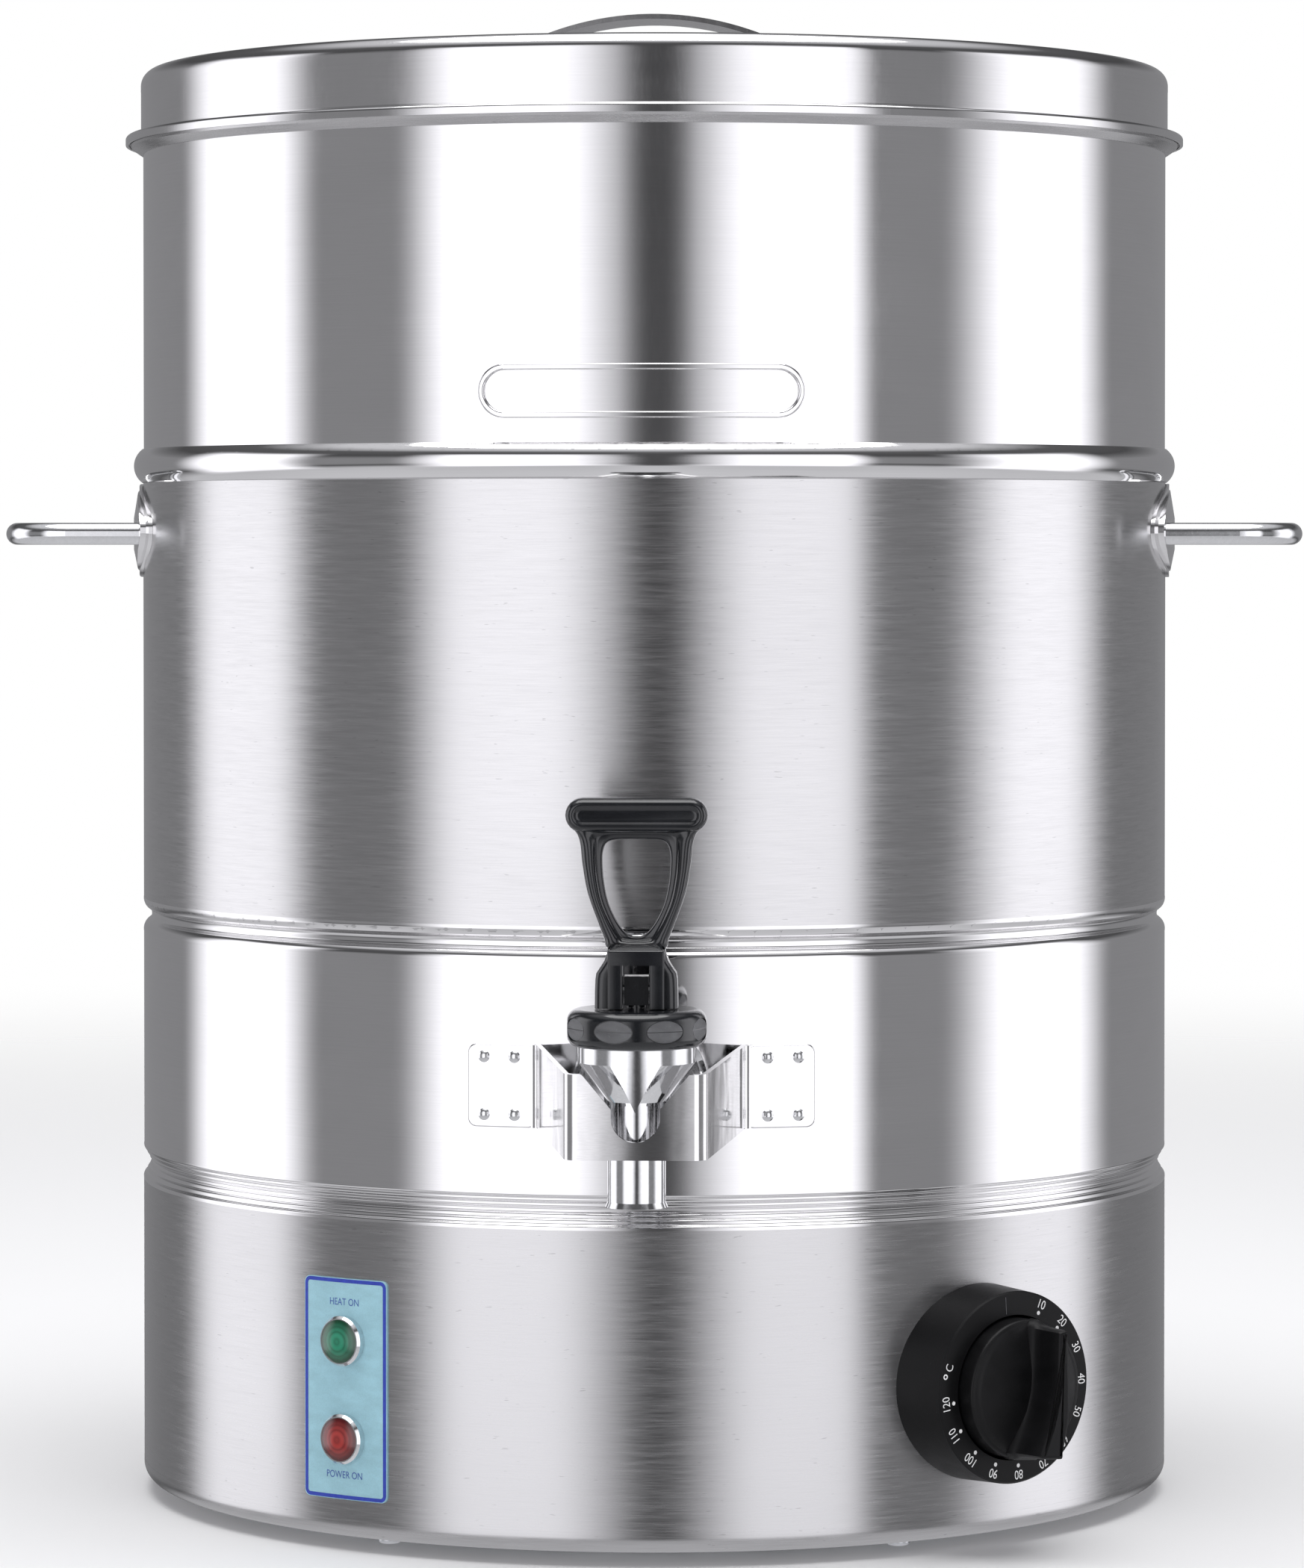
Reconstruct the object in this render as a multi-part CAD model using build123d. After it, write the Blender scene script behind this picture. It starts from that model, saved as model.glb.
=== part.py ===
from build123d import *
import math
import os

# Stainless steel electric urn with a self-closing tap, as separate pieces.
# Millimetres. +Z is up, the tap is on the -Y side, and z = 0 is the surface that the urn stands on.

# Driving dimensions
BASE_Z = 4.0  # bottom edge of the base skirt above the surface
POLISHED_R = 165.0  # polished wall of the top section
WALL_R = 165.2  # brushed wall and polished band
SKIRT_R = 165.3  # base skirt
SHEET = 1.0  # thickness of the outer walls and the tank
TANK_R = 148.0  # inside of the tank
TANK_FLOOR = 110.0  # inside of the tank's floor, above the skirt's bottom edge
LID_SHEET = 0.9
NECK_LOW = 102.3  # middle of the lower groove
NECK_HIGH = 181.8  # middle of the upper groove
BEAD_LOW = 320.4  # lower edge of the half-round bead
RIM_LOW = 425.9  # underside of the tank's rolled rim
RIM_TOP = 430.4
LID_TOP = 452.8
GAP = 0.3  # play between pieces that move apart

TAP_Y = -210.0  # vertical axis of the tap
SHANK_H = 140.8  # height of the tap's horizontal shank
SPOUT_R = 8.45
SPOUT_H = 109.1
CHAMBER_R = 10.5
SEAT_H = 145.5
CUP_TOP = 151.5
BONNET_LOW = 155.6
BONNET_TOP = 166.6
BONNET_R = 20.25
THUMB_FLATS = 8  # round the bonnet
THUMB_AZ = 26.3  # one of them, from the front towards +X
THUMB_DEPTH = 0.9
PIN_H = 172.1  # pivot of the lever
PIN_R = 1.5
STEM_R = 2.5
RUNNING = 0.05  # radial clearance of a shaft in its hole
SPRING_WIRE = 1.0
SPRING_TOP = 163.6
SPRING_R = 5.2

GUARD_SHEET = 1.5
GUARD_W = 24.7  # width of the guard's strip
HANDLE_H = 304.0  # height of the side handles
HANDLE_ARM = 38.0  # half the spread of a side handle's arms
HANDLE_REACH = 204.5  # centre of the wire at its outermost run
WIRE_R = 3.5
PLATE_EDGE = 1.2  # a handle plate's thickness at its edge
PLATE_BOSS = 3.0  # and where the wire passes

LABEL_AZ = -33.0  # degrees from the front towards +X
LABEL_H = 45.5
LABEL_W = 31.0
LABEL_TALL = 67.0
LABEL_T = 0.6
LAMP_HEIGHTS = {"green": 60.2, "red": 30.5}
LAMP_R = 7.6
DIAL_AZ = 37.9
DIAL_H = 47.3
DIAL_R = 29.0
DIAL_PROUD = 16.6
DIAL_WELL_R = 21.9
KNOB_R = 21.0
KNOB_EDGE = 22.2  # how far the knob's rim stands out
KNOB_TOP = 25.2
FIN_TOP = 36.5  # and its finger grip
SHAFT_R = 3.0
PLATE_H = 2.2  # top of the base plate
PLATE_SCREW_R = 154.0
RING_IN_R = 121.0  # rubber ring that the urn stands on
RING_OUT_R = 134.0
RING_SCREWS = 4
GLAND_H = 30.0
CARTOUCHE_H = 346.5
CARTOUCHE_W = 97.5
CARTOUCHE_TALL = 16.3
GLAND_BORE_R = 3.75
ELEMENT_LEG = 16.0  # half the spread of the element's legs
ELEMENT_Y = 78.0
ELEMENT_R = 4.2
ELEMENT_H = 126.0  # height of the heating loop
BUSH_R = 7.0
TERMINAL_Y = 122.0
TERMINAL_TALL = 16.0


def up(height):
    """Height above the skirt's bottom edge, as z."""
    return BASE_Z + height


def on_wall(azimuth, height, radius=WALL_R):
    """Plane on the wall: x to the right, y up, z outward. Azimuth 0 is the front."""
    a = math.radians(azimuth)
    out = (math.sin(a), -math.cos(a), 0)
    origin = (radius * out[0], radius * out[1], up(height))
    return Plane(origin=origin, x_dir=(math.cos(a), math.sin(a), 0), z_dir=out)


def shift(plane, x=0, y=0, z=0):
    return Plane(plane.location * Pos(x, y, z))


def rod(plane, radius, start, end, top_radius=None):
    """Round bar or cone along the plane's normal, from start to end."""
    place = plane * Pos(0, 0, start)
    low = (Align.CENTER, Align.CENTER, Align.MIN)
    if top_radius is None:
        return place * Cylinder(radius, end - start, align=low)
    return place * Cone(radius, top_radius, end - start, align=low)


def hexagon(plane, across_flats, start, end):
    face = RegularPolygon(across_flats / 2, 6, major_radius=False)
    return plane * Pos(0, 0, start) * extrude(face, end - start)


def spin(face):
    """Turns a face drawn as radius and height about the vessel's axis."""
    return revolve(Plane.XZ * face, Axis.Z)


def sheet_ring(line, thickness=SHEET, side=Side.LEFT):
    """Sheet metal turned about the vessel's axis. The line is its outer face."""
    wire = Wire(line.edges())
    return spin(make_face(wire.offset_2d(thickness, Kind.INTERSECTION, side)))


def wall_ring(outer_line, *inner_points):
    """Wall whose outer face is the line and whose inner face goes back through plainer points."""
    first, last = outer_line @ 0, outer_line @ 1
    back = [(last.X, last.Y)] + [(r, up(h)) for r, h in inner_points] + [(first.X, first.Y)]
    return spin(make_face(Wire(outer_line.edges() + Polyline(*back).edges())))


def tube(outer, inner, low, high):
    low_z = up(low)
    body = rod(Plane.XY, outer, low_z, up(high))
    return body - rod(Plane.XY, inner, low_z, up(high))


def save(name, *solids):
    """Writes a node: one solid, or a group of separate ones."""
    found = [s for item in solids for s in item.solids()]
    shape = found[0] if len(found) == 1 else Compound(children=found)
    export_step(shape, f"parts/{name}.step")


def chain(*points):
    """Straight lines through the points, as radius and height above the skirt's edge."""
    return Polyline(*[(r, up(h)) for r, h in points])


def corner(start, middle, end):
    """Arc through three points, as radius and height above the skirt's edge."""
    return ThreePointArc(*[(r, up(h)) for r, h in (start, middle, end)])


def quarter(centre, radius, start_angle):
    """The middle point of a quarter arc that starts at the angle."""
    a = math.radians(start_angle + 45)
    return (centre[0] + radius * math.cos(a), centre[1] + radius * math.sin(a))


# Places where pieces pass through the walls
TAP_SHANK = Plane(origin=(0, 0, up(SHANK_H)), x_dir=(1, 0, 0), z_dir=(0, -1, 0))
LAMP_PLANES = {c: on_wall(LABEL_AZ, h, SKIRT_R) for c, h in LAMP_HEIGHTS.items()}
DIAL = on_wall(DIAL_AZ, DIAL_H, SKIRT_R)
GLAND = on_wall(180, GLAND_H, SKIRT_R)
SHANK_R = 10.0
LAMP_BARREL_R = 5.0
DIAL_SCREW_X = 14.0
GLAND_THREAD_R = 8.0
GUARD_RIVET_R = 1.1
LID_RIVET_R = 1.6


def handle_arms():
    """The four points where a wire handle's arms pass the wall, as planes looking outward along X."""
    for side in (-1, 1):
        for y in (-HANDLE_ARM, HANDLE_ARM):
            origin = (0, y, up(HANDLE_H))
            yield side, Plane(origin=origin, x_dir=(0, side, 0), z_dir=(side, 0, 0))


def guard_rivet_planes():
    """Rivets through the guard's tabs, as planes on the wall."""
    for side in (-1, 1):
        for x in (37.4, 46.5):
            azimuth = math.degrees(math.asin(side * x / WALL_R))
            for height in (130.9, 148.2):
                yield on_wall(azimuth, height, WALL_R)


def rivet(plane, radius, grip_start, grip_end):
    """Domed rivet. The grip runs from the tail side to the head side along the normal."""
    head_r = radius * 1.65
    head_h = radius * 0.7
    shank = rod(plane, radius, grip_start, grip_end)
    tail = rod(plane, radius * 1.5, grip_start - 1.0, grip_start)
    ball_r = (head_r**2 + head_h**2) / (2 * head_h)
    ball = plane * Pos(0, 0, grip_end + head_h - ball_r) * Sphere(ball_r)
    head = ball & rod(plane, head_r, grip_end, grip_end + head_h + 1)
    return shank + tail + head


def pan_screw(plane, radius, length, head_r, head_h):
    """Pan-head screw whose head stands on the plane and whose thread runs behind it."""
    head = rod(plane, head_r, 0, head_h)
    head = fillet(head.edges().filter_by(GeomType.CIRCLE).sort_by(plane_depth(plane))[-1:], head_h * 0.6)
    slot = plane * Pos(0, 0, head_h) * Box(head_r * 1.6, 0.8, head_h)
    return head + rod(plane, radius, -length, 0) - slot


def plane_depth(plane):
    """Sorts edges along the plane's normal."""
    return lambda edge: (edge.center() - plane.origin).dot(plane.z_dir)


def wall_cut(radius):
    """The space inside the wall, to fit a piece's back to it."""
    return rod(Plane.XY, radius, -10, up(LID_TOP))


def at_or_beyond(radius):
    """Picks edges that lie at the radius from the vessel's axis, or beyond it."""
    return lambda edge: math.hypot((edge @ 0.5).X, (edge @ 0.5).Y) > radius - 0.02


# Outer walls
def make_walls():
    lip_r, bend = 150.0, 5.0
    bend_mid = quarter((SKIRT_R - bend, bend), bend, -90)
    skirt_line = (
        chain((lip_r, 0), (SKIRT_R - bend, 0))
        + corner((SKIRT_R - bend, 0), bend_mid, (SKIRT_R, bend))
        + chain((SKIRT_R, bend), (SKIRT_R, 97.5), (164.2, 98.2), (164.2, 99.3), (163.3, 100.0),
                (163.3, 100.9), (162.4, 101.7), (162.4, NECK_LOW))
    )
    inner_r, neck_inner_r = SKIRT_R - SHEET, 161.3
    inner_mid = quarter((SKIRT_R - bend, bend), bend - SHEET, -90)
    skirt_back = [(neck_inner_r, NECK_LOW), (neck_inner_r, 101.2), (inner_r, 97.2), (inner_r, bend)]
    skirt = wall_ring(skirt_line, *skirt_back, inner_mid, (SKIRT_R - bend, SHEET), (lip_r, SHEET))
    for plane in LAMP_PLANES.values():
        skirt -= rod(plane, LAMP_BARREL_R, -20, 20)
    skirt -= rod(DIAL, 5.0, -20, 20)
    for x in (-DIAL_SCREW_X, DIAL_SCREW_X):
        skirt -= rod(shift(DIAL, x), 2.0, -20, 20)
    skirt -= rod(GLAND, GLAND_THREAD_R, -20, 20)
    for plane in plate_screw_planes():
        skirt -= rod(plane, 2.0, -5, 5)
    save("base_skirt", skirt)

    band_line = (
        chain((162.4, NECK_LOW), (162.4, 102.9), (163.4, 103.7), (163.4, 104.6), (164.3, 105.4),
              (164.3, 106.2), (WALL_R, 107.0), (WALL_R, 177.4))
        + corner((WALL_R, 177.4), (WALL_R - 0.6, 178.9), (163.9, 179.7))
        + chain((163.9, 179.7), (162.6, 180.6), (162.6, NECK_HIGH))
    )
    inner_r = WALL_R - SHEET
    neck_top_r = 161.6
    band = wall_ring(band_line, (neck_top_r, NECK_HIGH), (neck_top_r, 180.2), (inner_r, 177.0),
                     (inner_r, 107.3), (neck_inner_r, 103.4), (neck_inner_r, NECK_LOW))
    band -= rod(TAP_SHANK, SHANK_R, 150, 180)
    for plane in guard_rivet_planes():
        band -= rod(plane, GUARD_RIVET_R, -5, 5)
    save("lower_band", band)

    middle_line = (
        chain((162.6, NECK_HIGH), (162.6, 183.0), (163.9, 183.9))
        + corner((163.9, 183.9), (WALL_R - 0.6, 184.7), (WALL_R, 186.2))
        + chain((WALL_R, 186.2), (WALL_R, BEAD_LOW))
    )
    middle = wall_ring(middle_line, (inner_r, BEAD_LOW), (inner_r, 186.6), (neck_top_r, 183.4),
                       (neck_top_r, NECK_HIGH))
    for _, plane in handle_arms():
        middle -= rod(plane, WIRE_R, 150, 180)
    save("middle_shell", middle)

    bead_top = 331.2
    top_line = (
        corner((WALL_R, BEAD_LOW), (168.1, 325.7), (165.5, bead_top))
        + chain((165.5, bead_top), (POLISHED_R, bead_top), (POLISHED_R, RIM_LOW))
    )
    top = sheet_ring(top_line)
    rim_proud, rim_w = 0.9, 2.0
    front = on_wall(0, CARTOUCHE_H, 0)
    outline = front * extrude(SlotOverall(CARTOUCHE_W, CARTOUCHE_TALL), 200)
    inside = front * extrude(SlotOverall(CARTOUCHE_W - 2 * rim_w, CARTOUCHE_TALL - 2 * rim_w), 200)
    rim = tube(POLISHED_R + rim_proud, POLISHED_R - 0.5, 330, 370) & (outline - inside)
    rim = fillet(rim.edges().filter_by(at_or_beyond(POLISHED_R + rim_proud)), 0.6)
    save("upper_shell", top + rim)


def plate_screw_planes():
    """Screws up through the skirt's lip into the base plate."""
    for k in range(6):
        a = math.radians(60 * k)
        origin = (PLATE_SCREW_R * math.cos(a), PLATE_SCREW_R * math.sin(a), BASE_Z)
        yield Plane(origin=origin, x_dir=(1, 0, 0), z_dir=(0, 0, -1))


# Tank, its insulation and the parts that hang on it
def make_tank():
    bend = 12.0
    bend_mid = quarter((TANK_R - bend, TANK_FLOOR + bend), bend, -90)
    inner_line = (
        chain((0, TANK_FLOOR), (TANK_R - bend, TANK_FLOOR))
        + corner((TANK_R - bend, TANK_FLOOR), bend_mid, (TANK_R, TANK_FLOOR + bend))
        + chain((TANK_R, TANK_FLOOR + bend), (TANK_R, RIM_TOP), (166.0, RIM_TOP))
    )
    pan = sheet_ring(inner_line, side=Side.RIGHT)
    roll_line = (
        chain((163.0, RIM_TOP), (163.0, RIM_LOW), (165.6, RIM_LOW), (168.7, 428.0), (169.1, 428.8),
              (169.1, 429.6))
        + corner((169.1, 429.6), (168.87, 430.17), (168.3, RIM_TOP))
        + chain((168.3, RIM_TOP), (163.0, RIM_TOP))
    )
    tank = pan + spin(make_face(Wire(roll_line.edges())))
    tank -= rod(TAP_SHANK, SHANK_R, 140, 155)
    for x in (-ELEMENT_LEG, ELEMENT_LEG):
        tank -= rod(element_leg_plane(x), BUSH_R, -10, 10)
    save("inner_tank", tank)

    jacket = tube(160.9, TANK_R + SHEET + 0.3, 124, 418)
    jacket -= rod(TAP_SHANK, 15.5, 140, 175)
    for _, plane in handle_arms():
        jacket -= rod(plane, 9.0, 140, 175)
    save("insulation_jacket", jacket)


def element_leg_plane(x):
    return Plane(origin=(x, ELEMENT_Y, up(TANK_FLOOR)), x_dir=(1, 0, 0), z_dir=(0, 0, 1))


def make_element():
    """Bent tubular element inside the tank, with its legs down through the floor."""
    low, high, wide, front = up(84), up(ELEMENT_H), 88.0, -88.0
    points = [
        (ELEMENT_LEG, ELEMENT_Y, low),
        (ELEMENT_LEG, ELEMENT_Y, high),
        (wide, ELEMENT_Y, high),
        (wide, front, high),
        (-wide, front, high),
        (-wide, ELEMENT_Y, high),
        (-ELEMENT_LEG, ELEMENT_Y, high),
        (-ELEMENT_LEG, ELEMENT_Y, low),
    ]
    radii = [12.0, 45.0, 70.0, 70.0, 45.0, 12.0]
    path = FilletPolyline(*points, radius=radii)
    section = Plane(origin=points[0], z_dir=(0, 0, 1)) * Circle(ELEMENT_R)
    element = sweep(section, path=path)
    save("heating_element", element)

    bushes, gaskets, nuts = [], [], []
    for x in (-ELEMENT_LEG, ELEMENT_LEG):
        plane = element_leg_plane(x)
        bore = rod(plane, ELEMENT_R, -30, 30)
        bushes.append(rod(plane, BUSH_R, -14, 0.0) + rod(plane, 9.5, 0.0, 4.0) - bore)
        gaskets.append(rod(plane, 10.0, -3.0, -SHEET) - rod(plane, BUSH_R, -5, 5))
        nuts.append(hexagon(plane, 20, -8.5, -3.0) - rod(plane, BUSH_R, -10, 5))
    save("element_bushes", *bushes)
    save("element_gaskets", *gaskets)
    save("element_nuts", *nuts)


# Base plate, foot ring and the parts on the base
def make_base():
    plate = rod(Plane.XY, 158.5, up(SHEET), up(PLATE_H))
    for k in range(-4, 5):
        vent = Pos(0, 14.0 * k, up(1.5)) * extrude(SlotOverall(70, 5), 5, both=True)
        plate -= vent
    screws = []
    for plane in plate_screw_planes():
        plate -= rod(plane, 1.9, -5, 5)
        screws.append(pan_screw(plane, 1.9, 6.0, 3.6, 2.0))
    ring = rod(Plane.XY, RING_OUT_R, 0, up(SHEET)) - rod(Plane.XY, RING_IN_R, -1, 20)
    ring_screws = []
    for k in range(RING_SCREWS):
        a = math.radians(45 + 360 * k / RING_SCREWS)
        middle_r = (RING_IN_R + RING_OUT_R) / 2
        under = Plane(origin=(middle_r * math.cos(a), middle_r * math.sin(a), 1.9), x_dir=(1, 0, 0),
                      z_dir=(0, 0, -1))
        ring -= rod(under, 2.0, -10, 10) + rod(under, 4.2, 0, 10)
        plate -= rod(under, 2.0, -20, 0)
        ring_screws.append(pan_screw(under, 2.0, 9.0, 3.6, 1.4))
    stud_axis = Plane(origin=(40, 118, up(PLATE_H)), z_dir=(0, 0, 1))
    plate -= rod(stud_axis, 2.5, -5, 5)
    save("base_plate", plate)
    save("base_plate_screws", *screws)
    save("foot_ring", ring)
    save("foot_ring_screws", *ring_screws)

    stud = rod(stud_axis, 2.5, -1.2, 14) + hexagon(stud_axis, 8, 0, 4)
    save("earth_stud", stud)
    low_centre = (Align.CENTER, Align.CENTER, Align.MIN)
    block = Pos(0, TERMINAL_Y, up(PLATE_H)) * Box(44, 18, TERMINAL_TALL, align=low_centre)
    for x in (-14, 0, 14):
        block -= Pos(x, TERMINAL_Y, up(PLATE_H + TERMINAL_TALL - 4)) * Cylinder(3.2, 10)
    save("terminal_block", block)


def make_gland():
    """Cord entry at the rear, clamped through the skirt by a nut."""
    body = rod(GLAND, GLAND_THREAD_R, -12, 0) + hexagon(GLAND, 21, -1, 5.5)
    body += rod(GLAND, 9.6, 5.5, 10.5, 8.2)
    body -= wall_cut(SKIRT_R) - rod(GLAND, GLAND_THREAD_R, -30, 0.5)
    body -= rod(GLAND, GLAND_BORE_R, -20, 20)
    save("cord_gland", body)
    nut = hexagon(GLAND, 21, -6.5, -2.2) - rod(GLAND, GLAND_THREAD_R, -10, 5)
    save("cord_gland_nut", nut)


# Thermostat, its dial and its sensor
def make_thermostat():
    box = DIAL * Pos(0, 0, -15.5) * Box(36, 36, 25)
    box -= rod(DIAL, SHAFT_R + RUNNING, -16, 0)
    for x in (-DIAL_SCREW_X, DIAL_SCREW_X):
        box -= rod(shift(DIAL, x), 2.0, -9, 0)
    save("thermostat_body", box)

    shaft = rod(DIAL, SHAFT_R, -12, 11)
    flat = DIAL * Pos(0, SHAFT_R + 0.8, 8) * Box(10, 4, 8)
    save("thermostat_shaft", shaft - flat)

    well_floor = 3.5
    bezel = rod(DIAL, DIAL_R + 1.0, -4, DIAL_PROUD, DIAL_R)
    bezel = chamfer(bezel.edges().sort_by(plane_depth(DIAL))[-1:], 0.5)
    bezel -= rod(DIAL, DIAL_WELL_R, well_floor, 30)
    bezel -= wall_cut(SKIRT_R)
    bezel -= rod(DIAL, 5.0, -10, 10)
    screws = []
    for x in (-DIAL_SCREW_X, DIAL_SCREW_X):
        bezel -= rod(shift(DIAL, x), 2.0, -10, 10)
        screws.append(pan_screw(shift(DIAL, x, 0, well_floor), 2.0, 12.0, 3.4, 1.6))
    save("dial_bezel", bezel)
    save("dial_screws", *screws)

    disc = rod(DIAL, KNOB_R, 5.6, KNOB_EDGE)
    rise = KNOB_TOP - KNOB_EDGE
    ball_r = (KNOB_R**2 + rise**2) / (2 * rise)
    dome = rod(DIAL, KNOB_R, 15.0, KNOB_TOP + 1) & (DIAL * Pos(0, 0, KNOB_TOP - ball_r) * Sphere(ball_r))
    fin_left = Spline((1.2, 18.5), (0.9, 8.0), (0.2, 0.0), (-2.2, -9.0), (-6.2, -18.2))
    fin_right = Spline((2.4, -19.8), (5.0, -9.0), (5.4, 0.0), (5.1, 9.0), (4.4, 18.9))
    fin_ends = Line(fin_left @ 1, fin_right @ 0) + Line(fin_right @ 1, fin_left @ 0)
    fin_face = make_face(Wire(fin_left.edges() + fin_ends.edges() + fin_right.edges()))
    fin_low = 20.0
    fin = extrude(shift(DIAL, 0, 0, fin_low) * fin_face, FIN_TOP - fin_low)
    knob = disc + dome + fin
    knob -= rod(DIAL, SHAFT_R, 0, 11)
    save("thermostat_knob", knob)

    tube_r, bulb_r, under = 1.0, 3.0, up(TANK_FLOOR - SHEET) - 3.4
    p0 = shift(DIAL, 0, 8, -28).origin
    inward = -DIAL.z_dir
    p1 = p0 + inward * 22
    p2 = Vector(p1.X, p1.Y, under)
    p3 = Vector(20, -30, under)
    bulb_dir = (p3 - p2).normalized()
    path = FilletPolyline(p0, p1, p2, p3, radius=9)
    section = Plane(origin=p0, z_dir=inward) * Circle(tube_r)
    sensor = sweep(section, path=path)
    sensor += rod(Plane(origin=p3, z_dir=bulb_dir), bulb_r, -2, 60)
    save("sensor_capillary", sensor)
    clip_at = Plane(origin=p3 + bulb_dir * 30, z_dir=bulb_dir)
    clip = Pos(clip_at.origin) * Box(14, 14, 6.8)
    clip -= rod(clip_at, bulb_r, -30, 30)
    save("sensor_clip", clip)

    cutout_at = Plane(origin=(-60, -20, up(TANK_FLOOR - SHEET)), z_dir=(0, 0, -1))
    cutout = rod(cutout_at, 11, 0, 2) + rod(cutout_at, 8, 2, 12)
    for x in (-4, 4):
        cutout += cutout_at * Pos(x, 0, 15) * Box(0.8, 6.3, 8)
    save("thermal_cutout", cutout)


# Label and lamps
def make_panel():
    plane = on_wall(LABEL_AZ, LABEL_H, 0)
    face = RectangleRounded(LABEL_W, LABEL_TALL, 2.0)
    ring = tube(SKIRT_R + LABEL_T, SKIRT_R, 5, 95)
    label = ring & (plane * extrude(face, 200))
    for lamp in LAMP_PLANES.values():
        label -= rod(lamp, LAMP_BARREL_R, -5, 5)
    save("label_panel", label)
    bodies, nuts = [], []
    lens_r, lens_back, lens_front, dome_r, bevel_from = 6.55, 0.9, 4.4, 20.0, 2.6
    for colour, lamp in LAMP_PLANES.items():
        bezel = rod(lamp, LAMP_R, 0, bevel_from) + rod(lamp, LAMP_R, bevel_from, 3.4, LAMP_R - 0.7)
        bezel -= rod(lamp, lens_r, lens_back, 5) + wall_cut(SKIRT_R + LABEL_T)
        bezel -= rod(lamp, LAMP_BARREL_R, -5, 5)
        save(f"lamp_bezel_{colour}", bezel)
        dome = lamp * Pos(0, 0, lens_front - dome_r) * Sphere(dome_r)
        save(f"lamp_lens_{colour}", rod(lamp, lens_r, lens_back, 6) & dome)
        bodies.append(rod(lamp, LAMP_BARREL_R, -22, lens_back))
        nuts.append(hexagon(lamp, 14, -5.5, -1.2) - rod(lamp, LAMP_BARREL_R, -10, 5))
    save("lamp_bodies", *bodies)
    save("lamp_nuts", *nuts)


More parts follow.
